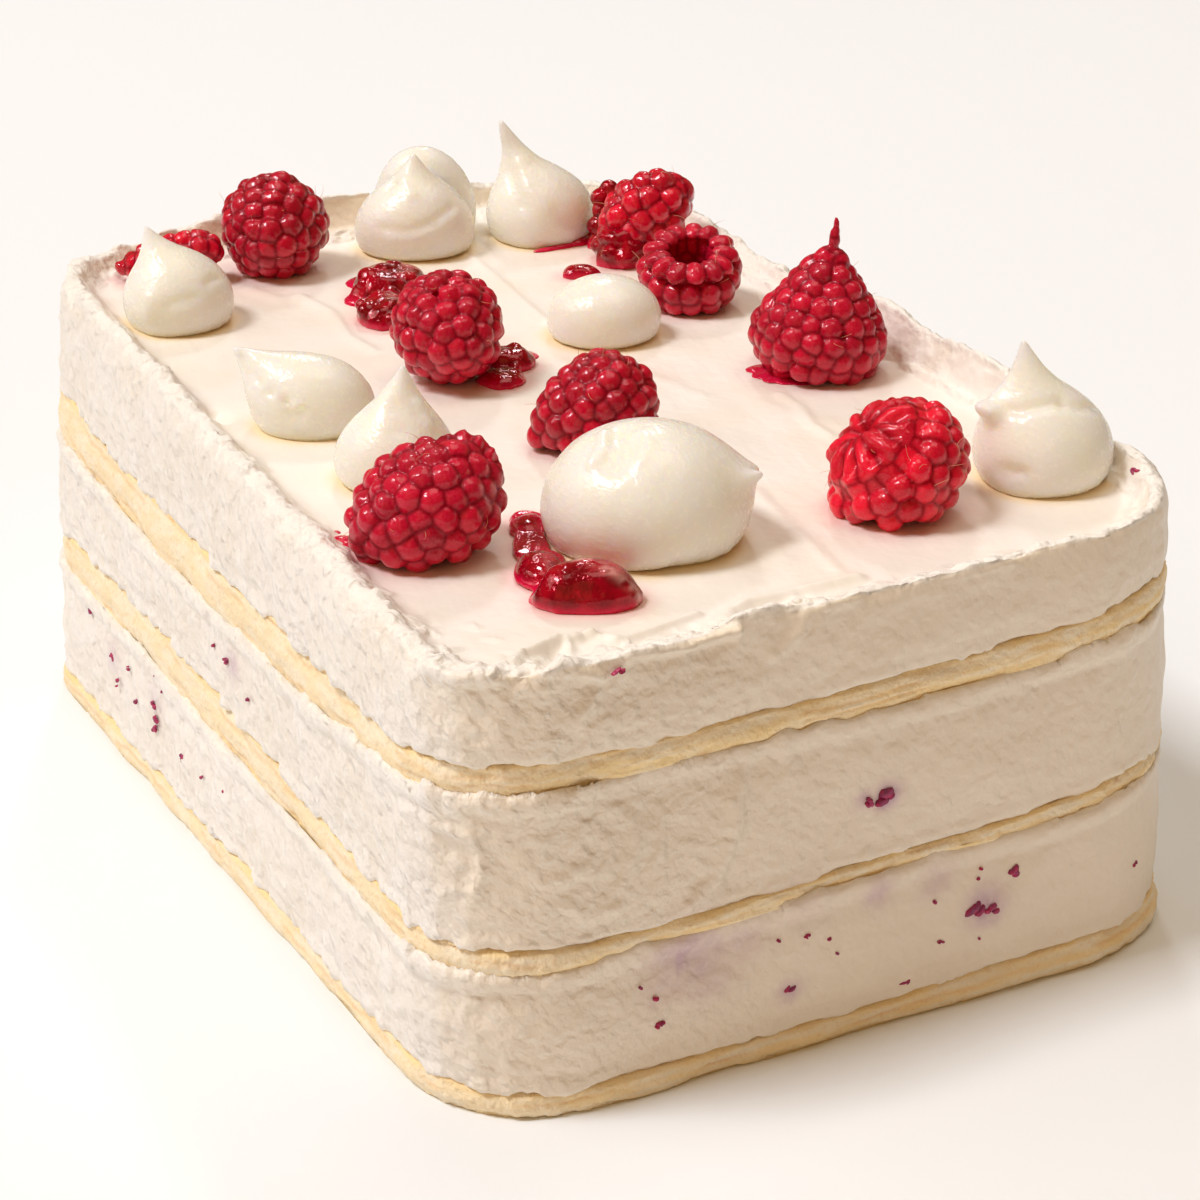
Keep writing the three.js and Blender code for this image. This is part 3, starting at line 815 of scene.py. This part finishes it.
JUICES = (  # pixel, reach across in mm, strength of the pink in the cream
    (262, 292, 9, 0.24), (600, 358, 9, 0.16), (645, 375, 9, 0.2), (560, 330, 7, 0.12),
    (450, 348, 9, 0.22), (493, 342, 6, 0.3), (430, 345, 6, 0.2), (365, 325, 7, 0.2),
    (585, 470, 5, 0.22), (770, 380, 9, 0.16), (860, 385, 6, 0.3), (885, 520, 12, 0.24),
    (410, 568, 10, 0.22), (520, 600, 9, 0.15), (720, 300, 6, 0.15), (235, 270, 6, 0.3),
    (570, 245, 6, 0.4), (1120, 470, 4, 0.2), (950, 505, 5, 0.2), (620, 290, 7, 0.12),
)


def sponge_layer(node, finish):
    piece = welded_copy(node, node.replace("sponge", "sheet"))
    reskin(piece, 1.0)
    refine(piece, near_outside(piece, node))
    soften(piece, 1)
    spots, normal = points(piece), normals(piece)
    side = outer(normal)
    gap, climb = nearest(spots, faces_of(CREAMS), 3 * MM)
    edge = (1 - eased(gap, 0.35 * MM, 1.0 * MM)) * eased(side, 0, 0.3)
    lumps = clouds(spots, 5, 20, (1.8, 1.8, 1.0), 2) - 0.5
    crumb = clouds(spots, 1.3, 21, (1.5, 1.5, 1.0), 3) - 0.5
    grown = 0.25 * (spots[:, 2] > 0.3 * MM)
    groove = edge * (climb > 0)
    depth = np.where(climb > 0, gap, 4 * MM - gap) / MM  # below the cream over it
    depth -= 0.9 + 2.2 * clouds(spots * np.array((1, 1, 0)), 9, 24, octaves=3)
    split = np.exp(-((depth / 0.3) ** 2)) * side * eased(clouds(spots, 8, 25), 0.5, 0.65)
    push(piece, (grown + side * (lumps + 0.6 * crumb - 0.4) - 0.3 * edge - 0.2 * split) * MM)
    # painted shadow under the cream's overhang, faint at the lower edge, and in the split grooves
    shade = groove + edge * (climb < 0) * 0.1
    patchy = 0.45 + 0.8 * clouds(spots, 2.5, 23)
    shade = np.maximum(shade * patchy, 0.4 * split)
    # paler towards the cream above, and paler on the left side as painted light
    pale = np.maximum(eased(depth, 0.3, -0.5), eased(-normal[:, 0], -0.1, 0.7))
    record_values(piece, seam=np.clip(shade, 0, 1) * side, pale=pale * side)
    dress(piece, finish, node)


# ----- kisses

FOLDS = {  # by kiss: half width and height in mm of a fold or hollow, pixels along it
    "kiss_back": (
        (0.9, -0.4, (383, 229), (407, 232), (433, 223), (452, 207)),
        (1.3, 0.25, (388, 236), (412, 239), (438, 230), (456, 214)),
        (0.8, -0.5, (386, 190), (389, 186), (394, 183)),
        (1.0, 0.35, (402, 166), (404, 180), (412, 194)),
    ),
    "kiss_front": (
        (1.0, 0.8, (604, 432), (602, 447), (594, 463)),
        (2.8, -1.0, (616, 436), (624, 446), (618, 458)),
        (1.1, 0.4, (641, 433), (647, 447), (638, 462)), (2.0, 0.5, (743, 482), (746, 484)),
        (1.1, 0.8, (747, 478), (749, 479)), (0.55, 1.1, (750, 476), (751, 476)),
    ),
    "kiss_left": (
        (0.7, -0.8, (284, 401), (286, 402)), (0.8, -0.5, (270, 392), (272, 393)),
        (1.1, -0.7, (290, 413), (297, 416), (303, 411)), (0.9, 0.5, (300, 405), (306, 410)),
        (0.9, -0.5, (243, 358), (250, 372), (258, 380)),
    ),
    "kiss_right": (
        (1.2, 2.2, (990, 411), (994, 413)), (0.8, 1.0, (986, 407), (988, 409)),
        (0.9, -0.6, (996, 408), (1020, 411), (1045, 405), (1062, 401)),
        (0.9, -0.5, (1065, 405), (1080, 408), (1095, 407)), (1.1, -0.8, (1005, 471), (1012, 473)),
        (0.9, -0.7, (1020, 471), (1026, 474)),
    ),
    "kiss_back_left": (
        (0.9, -0.4, (170, 305), (182, 300), (196, 297)),
        (1.6, 0.5, (150, 300), (148, 320), (146, 335)),
        (0.7, -0.4, (207, 283), (213, 279), (219, 277)),
    ),
    "kiss_tall": (
        (1.6, -0.5, (505, 150), (512, 180), (520, 205)),
        (1.6, 0.4, (520, 165), (530, 190), (545, 205)), (1.0, 1.3, (596, 214), (598, 216)),
    ),
    "kiss_front_left": (
        (1.0, 0.5, (418, 405), (423, 413), (428, 425)), (1.6, -0.4, (395, 410), (400, 430)),
    ),
}


STAINED = {"kiss_tall": 0.7, "kiss_back_left": 0.1}  # pink at the foot, on the right


def kiss(node, finish):
    piece = welded_copy(node, node.replace("kiss", "piped"))
    if node == "kiss_behind":
        reskin(piece, 0.45)
        soften(piece, 8)
    else:
        apply(piece, "SUBSURF", levels=3)
    spots = points(piece)
    broad, ripples = clouds(spots, 9, 30) - 0.5, clouds(spots, 2.2, 31) - 0.5
    height = (0.14 + 0.45 * broad + 0.05 * ripples) * MM
    push(piece, height + marked(spots, FOLDS.get(node, ()), (node,)))
    low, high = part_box(node)
    spots = points(piece)
    foot = 1 - eased(spots[:, 2] - low.z, 0.1 * MM, 2.2 * MM)
    push(piece, -0.45 * MM * foot, "Z")
    stained = STAINED.get(node, 0.0) * foot * eased(spots[:, 0], (low.x + high.x) / 2, high.x)
    # painted golden glow at the kiss's foot, for light coming through it
    glow = 0.7 * (1 - eased(spots[:, 2] - low.z, 0, 1.6 * MM))
    record_values(piece, juice=stained, glow=glow)
    dress(piece, finish, node)


# ----- berries

BLOCK_MIDDLE = Vector((0.29, 0.02, 0)) * MM  # the layout's middle from the frame's origin
CELL = 3.5 * MM  # a drupelet's width
SKIN_STEPS = 48  # steps of the skin's outline from foot to tip
OPEN_STEPS = 30  # steps up to the mouth of a hollow berry
BERRIES = {  # place on the floor and sizes in mm; axis: from the foot to the tip
    "berry_back_left": dict(
        at=(-17.4, 74.4), radius=8.7, half=8.8, axis=(-0.5, -0.7, -0.2), rise=7.2, look="deep",
        cell=1.08),
    "berry_centre": dict(
        at=(-12.8, 11), radius=8.2, half=8.8, axis=(-0.1, -0.75, -0.1), rise=8.2, look="ripe"),
    "berry_middle": dict(
        at=(-5.6, -23.4), radius=7.4, half=9.4, axis=(-0.8, 0.3, -0.42), rise=5.2, taper=0.24,
        look="deep", cell=0.94),
    "berry_front_left": dict(
        at=(-43.2, -46.4), radius=8.2, half=10.6, axis=(-0.84, 0.2, -0.4), rise=6.1, taper=0.08,
        look="ripe", torn=(
            (450, 445, 1.6), (465, 441, 1.7), (479, 446, 1.6), (489, 457, 1.5), (495, 470, 1.3))),
    "berry_right": dict(
        at=(41.8, -11.4), radius=9.7, half=10.8, axis=(0.14, -0.07, 1), rise=8.2, taper=0.36,
        peak=0.32, shrink=1.9, spike=((1.6, 0.95, 2.6), (3.4, 0.6, 2.4)), look="ripe"),
    "berry_front_right": dict(
        at=(21.4, -63.8), radius=10.1, half=8.8, axis=(-0.55, 0.1, 0.6), rise=6.2, taper=0,
        squash=0.94, crown=11, mouth=0.38, look="fresh"),
    "berry_hollow": dict(
        at=(38.3, 25), radius=8.2, half=6.2, axis=(-0.15, -0.35, 0.9), rise=5.2, taper=0,
        crown=13, mouth=0.68, long=0.31, look="ripe"),
    "berry_crushed": dict(
        at=(44.3, 52), radius=6.4, half=8.8, axis=(0.7, -0.34, 0.6), rise=7.2, taper=0,
        look="wet", cell=1.2),
    "berry_split": dict(
        at=(-36, 77.8), radius=3.7, half=9, axis=(-0.84, 0.44, -0.22), rise=3.6, taper=0.25,
        look="wet", cell=0.9),
}


def drupelet():
    """One juicy cell: a ball drawn in towards its root."""
    bpy.ops.mesh.primitive_uv_sphere_add(segments=12, ring_count=8, radius=1)
    cell = bpy.context.object
    cell.name = "drupelet"
    choose_faces(cell, face_middles(cell)[:, 2] < -0.3)
    bpy.ops.transform.resize(value=(0.6, 0.6, 0.9))
    bpy.ops.object.mode_set(mode="OBJECT")
    return cell


def rows_of(shape, size):
    """Rows up a berry's skin: distance from the axis, height, and outward slope, in metres."""
    top = OPEN_STEPS if shape.get("crown") else SKIN_STEPS
    turn = math.pi * (1 - np.arange(top + 1) / SKIN_STEPS)
    up = np.cos(turn)
    narrowed = (1 - shape.get("taper", 0.15) * up) * (1 - shape.get("peak", 0) * up.clip(0))
    reach = shape["radius"] * narrowed * np.sin(turn)
    skin = np.stack((reach, up * shape["half"]), axis=1) * MM
    steps = np.linalg.norm(np.diff(skin, axis=0), axis=1)
    far = np.concatenate(([0], np.cumsum(steps)))
    count = max(3, round(far[-1] / (size * 0.84)))
    rows = []
    for row in range(count):
        target = far[-1] * (row + 0.5) / count
        index = int(np.searchsorted(far, target)) - 1
        share = (target - far[index]) / steps[index]
        spot = skin[index] * (1 - share) + skin[index + 1] * share
        rows.append((*spot, *((skin[index + 1] - skin[index]) / steps[index])))
    return rows


def cells_of(shape, draw):
    """Places of a berry's cells round its own axis: place, outward way, width, length, depth."""
    size = CELL * shape.get("cell", 1)
    cells = []
    for row, (reach, height, outward, upward) in enumerate(rows_of(shape, size)):
        around = max(1, round(2 * math.pi * reach / (size * 0.98)))
        if reach < size * 0.35:
            around, reach = 1, 0.0
        phase = 0.5 * row + draw.uniform(-0.15, 0.15)
        for step in range(around):
            angle = 2 * math.pi * (step + phase + draw.uniform(-0.17, 0.17)) / around
            flat = level_way(angle)
            out = (flat * upward - UP * outward).normalized()
            wide = size * draw.uniform(0.84, 1.16)
            jog = draw.uniform(-0.12, 0.12) * size
            place = flat * reach + UP * (height + jog) + out * (0.8 * MM - 0.5 * wide)
            place += out * draw.uniform(-0.3, 0.2) * MM
            place.y *= shape.get("squash", 1)
            long = 0.6 * wide * draw.uniform(0.88, 1.1)
            cells.append((place, out, 0.6 * wide, long, 0.54 * wide))
    crown = shape.get("crown", 0)
    for step in range(crown):  # long cells lying over the edge of the hollow
        angle = 2 * math.pi * (step + draw.uniform(-0.12, 0.12)) / crown
        flat = level_way(angle)
        reach = shape["radius"] * MM * (shape.get("mouth", 0.64) + draw.uniform(0, 0.05))
        wide = math.pi * reach / crown * draw.uniform(1.1, 1.3)
        place = flat * reach + UP * shape["half"] * MM * draw.uniform(0.62, 0.72)
        place.y *= shape.get("squash", 1)
        out = (UP + 0.25 * flat).normalized()
        long = shape.get("long", 0.38) * shape["radius"] * MM
        cells.append((place, out, wide, long, 0.25 * shape["half"] * MM))
    for height, wide, deep in shape.get("spike", ()):
        place = UP * (shape["half"] + height) * MM
        cells.append((place, UP, wide * MM, wide * MM, deep * MM))
    return cells


def tint_cells(fruit, centres, draw):
    """Records where the clefts between a berry's cells are, for painted shade there, and a tone for
    each cell.
    """
    tree = KDTree(len(centres))
    for index, centre in enumerate(centres):
        tree.insert(centre, index)
    tree.balance()
    tones = [draw.random() for _ in centres]
    cleft, tone = [], []
    for spot in points(fruit):
        near = tree.find_n(Vector(spot), 2)
        cleft.append(1 - min(1, (near[1][2] - near[0][2]) / (0.2 * CELL)))
        tone.append(tones[near[0][1]])
    record_values(fruit, cleft=np.array(cleft) ** 1.5, tone=tone)


def berry(node, shape, cell, finish):
    """A berry of drupelets set in rows over the node's own body, fused into one skin."""
    draw = random.Random(SEED + len(node) * 7 + int(shape["radius"] * 10))
    core = welded_copy(node, node.replace("berry", "fruit"))
    push(core, -shape.get("shrink", 1.1) * MM)
    x, y = shape["at"]
    ground = floor_height(y * MM) + 0.3 * MM
    middle = Vector((x * MM, y * MM, ground + shape["rise"] * MM)) + BLOCK_MIDDLE
    turn = UP.rotation_difference(Vector(shape["axis"]).normalized()).to_matrix()
    found = cells_of(shape, draw)
    far = (middle - CAMERA_PLACE).length
    for px, py, wide in shape.get("torn", ()):  # loose cells: pixel and half width in mm
        place = CAMERA_PLACE + sight(px, py) * far - middle
        found.append((turn.inverted() @ place, place.normalized(), *(wide * MM,) * 3))
    cells, centres = [], []
    for place, out, wide, long, deep in found:
        place = turn @ place + middle
        if place.z < ground + 0.3 * wide:
            continue
        out = (turn @ out).normalized()
        around = (turn @ UP).cross(out)
        around = around.normalized() if around.length > 0.01 else out.orthogonal().normalized()
        basis = Matrix((around, out.cross(around), out)).transposed().to_4x4()
        lean = Matrix.Rotation(draw.uniform(-0.2, 0.2), 4, "X")
        size = Matrix.Diagonal((wide, long, deep, 1))
        cells.append(copy_of(cell.data, "cell", Matrix.Translation(place) @ basis @ lean @ size))
        centres.append(place)
    fused(core, cells, 0.28, 1)
    tint_cells(core, centres, draw)
    push(core, (0.2 * clouds(points(core), 0.9, 40) - 0.1) * MM)
    dress(core, finish, node)
    return core


def hairs(fruits, finish):
    """Short curved styles standing out between the drupelets."""
    draw = random.Random(SEED + 2)
    pieces = []
    for fruit in fruits:
        mesh = fruit.data
        for _ in range(15):
            vertex = mesh.vertices[draw.randrange(len(mesh.vertices))]
            if vertex.normal.z < -0.3:
                continue
            bpy.ops.mesh.primitive_circle_add(vertices=5, radius=0.05 * MM, fill_type="NGON")
            one = bpy.context.object
            only(one)
            bpy.ops.object.mode_set(mode="EDIT")
            bpy.ops.mesh.select_all(action="SELECT")
            bend = Vector((draw.uniform(-0.3, 0.3), draw.uniform(-0.3, 0.3), 0)) * MM
            for step in range(4):
                move = UP * 0.55 * MM + bend * step * 0.6
                bpy.ops.mesh.extrude_region_move(TRANSFORM_OT_translate={"value": move})
                bpy.ops.transform.resize(value=(0.8, 0.8, 0.8))
            bpy.ops.object.mode_set(mode="OBJECT")
            lean = Vector([draw.uniform(-0.7, 0.7) for _ in range(3)])
            root = Matrix.Translation(vertex.co - 0.15 * MM * vertex.normal)
            one.data.transform(root @ facing((vertex.normal + lean).normalized()))
            pieces.append(one)
    join(pieces[0], pieces)
    pieces[0].name = "fruit_hairs"
    dress(pieces[0], finish)


# ----- jam

LUMPS = {"jam_left": (26, 1.7), "jam_back": (30, 1.9), "jam_centre": (5, 1.3)}  # number, mm
PILED = (  # lumps of crushed fruit against the berry at the back: pixel and radius in mm
    (600, 199, 1.7), (609, 189, 1.5), (604, 212, 2.1), (599, 228, 2.1), (616, 196, 1.8),
    (613, 215, 2.3), (607, 240, 2.3), (597, 244, 1.7), (618, 232, 2.2), (622, 208, 1.9),
)
POOLS = {  # shallow swells of juice between the lumps: pixel, width, length and height in mm
    "jam_front": (
        (524, 520, 2.2, 2.2, 1.5), (530, 543, 2.2, 3.0, 1.3), (541, 562, 3.6, 3.2, 1.8),
        (560, 580, 4.4, 3.8, 1.9), (552, 598, 3.6, 2.6, 1.5), (588, 590, 6.4, 4.6, 3.2),
        (605, 604, 4.6, 2.8, 1.7)),
    "jam_centre": (
        (507, 365, 4.4, 3.4, 1.0), (495, 378, 3.6, 2.2, 0.9), (520, 357, 3.4, 2.6, 0.9)),
    "jam_left": ((368, 300, 4.2, 4.0, 1.4), (385, 312, 4.4, 3.0, 1.3), (362, 284, 3.0, 3.0, 1.2)),
}


def ball(cell, place, sizes):
    move = Matrix.Translation(place) @ Matrix.Diagonal((*sizes, 1))
    return copy_of(cell.data, "lump", move)


def swells(cell, entries):
    """Balls sunk in the floor, for a table of pixels and sizes."""
    balls = []
    for px, py, *sizes in entries:
        place, _ = seen(px, py, ("cream_top",))
        balls.append(ball(cell, place, [size * MM for size in sizes]))
    return balls


def jam(node, cell, finish):
    draw = random.Random(SEED + len(node))
    piece = welded_copy(node, node.replace("jam", "spoonful"))
    low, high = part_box(node)
    tree = faces_of((node,))
    count, size = LUMPS.get(node, (0, 0))
    lumps = []
    for _ in range(count):
        start = Vector((draw.uniform(low.x, high.x), draw.uniform(low.y, high.y), high.z + 9 * MM))
        place, _, _, _ = tree.ray_cast(start, -UP)
        if place is not None:
            wide = size * draw.uniform(0.6, 1.15) * MM
            lumps.append(ball(cell, place - UP * wide * 0.35, (wide, wide, wide * 0.85)))
    lumps += swells(cell, POOLS.get(node, ()))
    if node == "jam_back":
        anchor = (nodes["berry_crushed"].data.vertices[0].co - CAMERA_PLACE).length
        for px, py, wide in PILED:
            place = CAMERA_PLACE + sight(px, py) * anchor
            lumps.append(ball(cell, place, (wide * MM,) * 3))
    fused(piece, lumps, 0.32, 3)
    if node == "jam_front":  # the trail behind the pool lies flatter
        spots = points(piece)
        pool, _ = seen(590, 592, (node,))
        trail = eased(np.linalg.norm(spots - np.array(pool), axis=1), 6 * MM, 9 * MM)
        push(piece, -1.7 * MM * eased(rise_of(spots), 0.6 * MM, 2.8 * MM) * trail, "Z")
    spots = points(piece)
    push(piece, (0.25 + 0.5 * (clouds(spots, 1.9, 50) - 0.5)) * MM)
    push(piece, -0.3 * MM * (1 - eased(rise_of(spots), 0.4 * MM, 2 * MM)), "Z")
    soften(piece, 24 if node == "jam_front" else 4, 0.6)
    wet(piece, node, finish)


def wet(piece, node, finish):
    spots = points(piece)
    thin = 0.9 * (1 - eased(rise_of(spots), 0.2 * MM, 1.7 * MM))
    smear = np.zeros(len(spots))
    if node == "jam_front":
        path = path_of(((546, 545), (580, 560), (612, 573), (632, 588), (638, 600)), (node,))
        smear = 0.75 * np.exp(-(line_distance(spots, path) / (0.8 * MM)) ** 2)
        smear *= eased(clouds(spots, 1.2, 51, octaves=2), 0.2, 0.5)
    record_values(piece, thin=thin, smear=smear)
    dress(piece, finish, node)


DROPS = {  # thin juice on the cream: pixel, width, length and height in mm
    "juice_left": (
        (340, 541, 2.0, 1.3, 0.7), (350, 546, 1.6, 1.0, 0.6), (336, 534, 0.9, 0.8, 0.5)),
    "juice_tall": (
        (548, 250, 3.2, 1.0, 0.6), (562, 247, 3.4, 1.4, 0.9), (578, 243, 3.4, 2.2, 1.3),
        (592, 236, 3.0, 2.6, 2.0), (600, 222, 2.6, 2.2, 3.2)),
    "juice_right": (
        (762, 369, 3.2, 2.2, 0.5), (771, 374, 3.6, 2.4, 0.5), (783, 378, 4.0, 2.4, 0.5),
        (796, 380, 4.0, 2.2, 0.45), (808, 381, 3.4, 1.9, 0.4)),
    "juice_centre": ((520, 362, 1.6, 0.9, 0.5), (470, 378, 1.0, 0.6, 0.4)),
}


def drops(cell, finish):
    for name, entries in DROPS.items():
        balls = swells(cell, entries)
        balls[0].name = name
        fused(balls[0], balls[1:], 0.25, 4)
        wet(balls[0], None, finish)


# ----- flecks

FLECKS = (  # fruit that shows in the cream: pixel, length and width in mm
    (1040, 660, 1.3, 0.9), (865, 801, 2.2, 1.3), (887, 797, 2.9, 2.1), (848, 889, 0.9, 0.5),
    (1010, 871, 2.0, 1.4), (976, 910, 3.0, 1.6), (991, 907, 2.0, 1.4), (934, 901, 0.7, 0.5),
    (805, 936, 1.2, 0.6), (828, 938, 0.6, 0.4), (836, 952, 0.7, 0.4), (778, 940, 0.5, 0.4),
    (978, 937, 0.5, 0.4), (940, 940, 1.7, 0.5), (905, 980, 1.8, 0.6), (790, 989, 1.9, 0.7),
    (659, 1025, 1.1, 0.9), (655, 998, 0.7, 0.6), (640, 987, 0.5, 0.4), (1133, 863, 1.0, 0.5),
    (92, 610, 1.4, 0.8), (114, 657, 1.9, 1.1), (119, 680, 0.8, 0.6), (130, 668, 1.1, 0.6),
    (137, 702, 1.8, 1.1), (155, 705, 1.7, 0.8), (156, 728, 1.9, 1.3), (184, 758, 1.3, 0.8),
    (203, 777, 0.6, 0.5), (227, 660, 1.6, 0.9), (215, 645, 0.9, 0.5), (249, 699, 0.7, 0.5),
    (619, 670, 1.8, 0.45), (1137, 472, 1.8, 0.9), (980, 868, 0.5, 0.4), (977, 878, 0.5, 0.4),
)


def fleck_seed():
    """One crumb of fruit: a ball with an uneven edge."""
    bpy.ops.mesh.primitive_ico_sphere_add(subdivisions=2, radius=0.5)
    seed = bpy.context.object
    seed.name = "crumb"
    push(seed, 0.8 * (clouds(points(seed), 350, 60) - 0.5))
    return seed


def flecks(finish):
    """Fruit in the cream: where the photograph shows it, and like it on the other sides."""
    draw = random.Random(SEED)
    seed = fleck_seed()
    placed = []
    for px, py, long, wide in FLECKS:
        found = seen(px, py, CREAMS)
        if found is not None:
            placed.append((*found, long, wide))
    for _ in range(26):
        angle = draw.uniform(-0.1, 1.05) * math.pi
        start = level_way(angle) * 0.3
        start.z = draw.uniform(7, 28) * MM
        aim = Vector((0, 0, start.z)) - start
        place, normal, _, _ = faces_of(("cream_lower",)).ray_cast(start, aim.normalized())
        if place is not None:
            long = draw.uniform(0.5, 2.0)
            placed.append((place, normal, long, long * draw.uniform(0.4, 0.8)))
    pieces = []
    for place, normal, long, wide in placed:
        move = Matrix.Translation(place + 0.25 * MM * normal) @ facing(normal)
        tilt = draw.uniform(-0.6, 0.9)
        bits = 1 if long < 1 else 4
        for _ in range(bits):
            spin = Matrix.Rotation(tilt + draw.uniform(-0.5, 0.5), 4, "Z")
            shift = Vector((draw.uniform(-0.4, 0.4) * long, draw.uniform(-0.5, 0.5) * wide, 0)) * MM
            share = 1 if bits == 1 else draw.uniform(0.3, 0.65)
            size = Matrix.Diagonal((long * MM * share, wide * MM * share, 0.5 * MM, 1))
            apart = Matrix.Translation(shift * (bits > 1))
            pieces.append(copy_of(seed.data, "crumb", move @ apart @ spin @ size))
    bpy.data.objects.remove(seed)
    join(pieces[0], pieces)
    pieces[0].name = "fruit_flecks"
    dress(pieces[0], finish)


# ----- the scene


def put_floor():
    bpy.ops.mesh.primitive_plane_add(size=8)
    ground = bpy.context.object
    ground.name = "ground"
    ground.data.materials.append(floor_finish())


def main():
    put_camera()
    put_lights()
    put_floor()
    cream, sponge, piped = cream_finish(), sponge_finish(), kiss_finish()
    for node in CREAMS:
        cream_layer(node, cream)
    for node in SPONGES:
        sponge_layer(node, sponge)
    for node in KISSES:
        kiss(node, piped)
    looks = {look: berry_finish(look) for look in BERRY_LOOKS}
    cell = drupelet()
    fruits = [berry(node, shape, cell, looks[shape["look"]]) for node, shape in BERRIES.items()]
    hairs(fruits, hair_finish())
    preserve = jam_finish()
    for node in JAMS:
        jam(node, cell, preserve)
    drops(cell, preserve)
    bpy.data.objects.remove(cell)
    flecks(fleck_finish())
    bpy.context.scene.view_settings.view_transform = "Standard"


main()
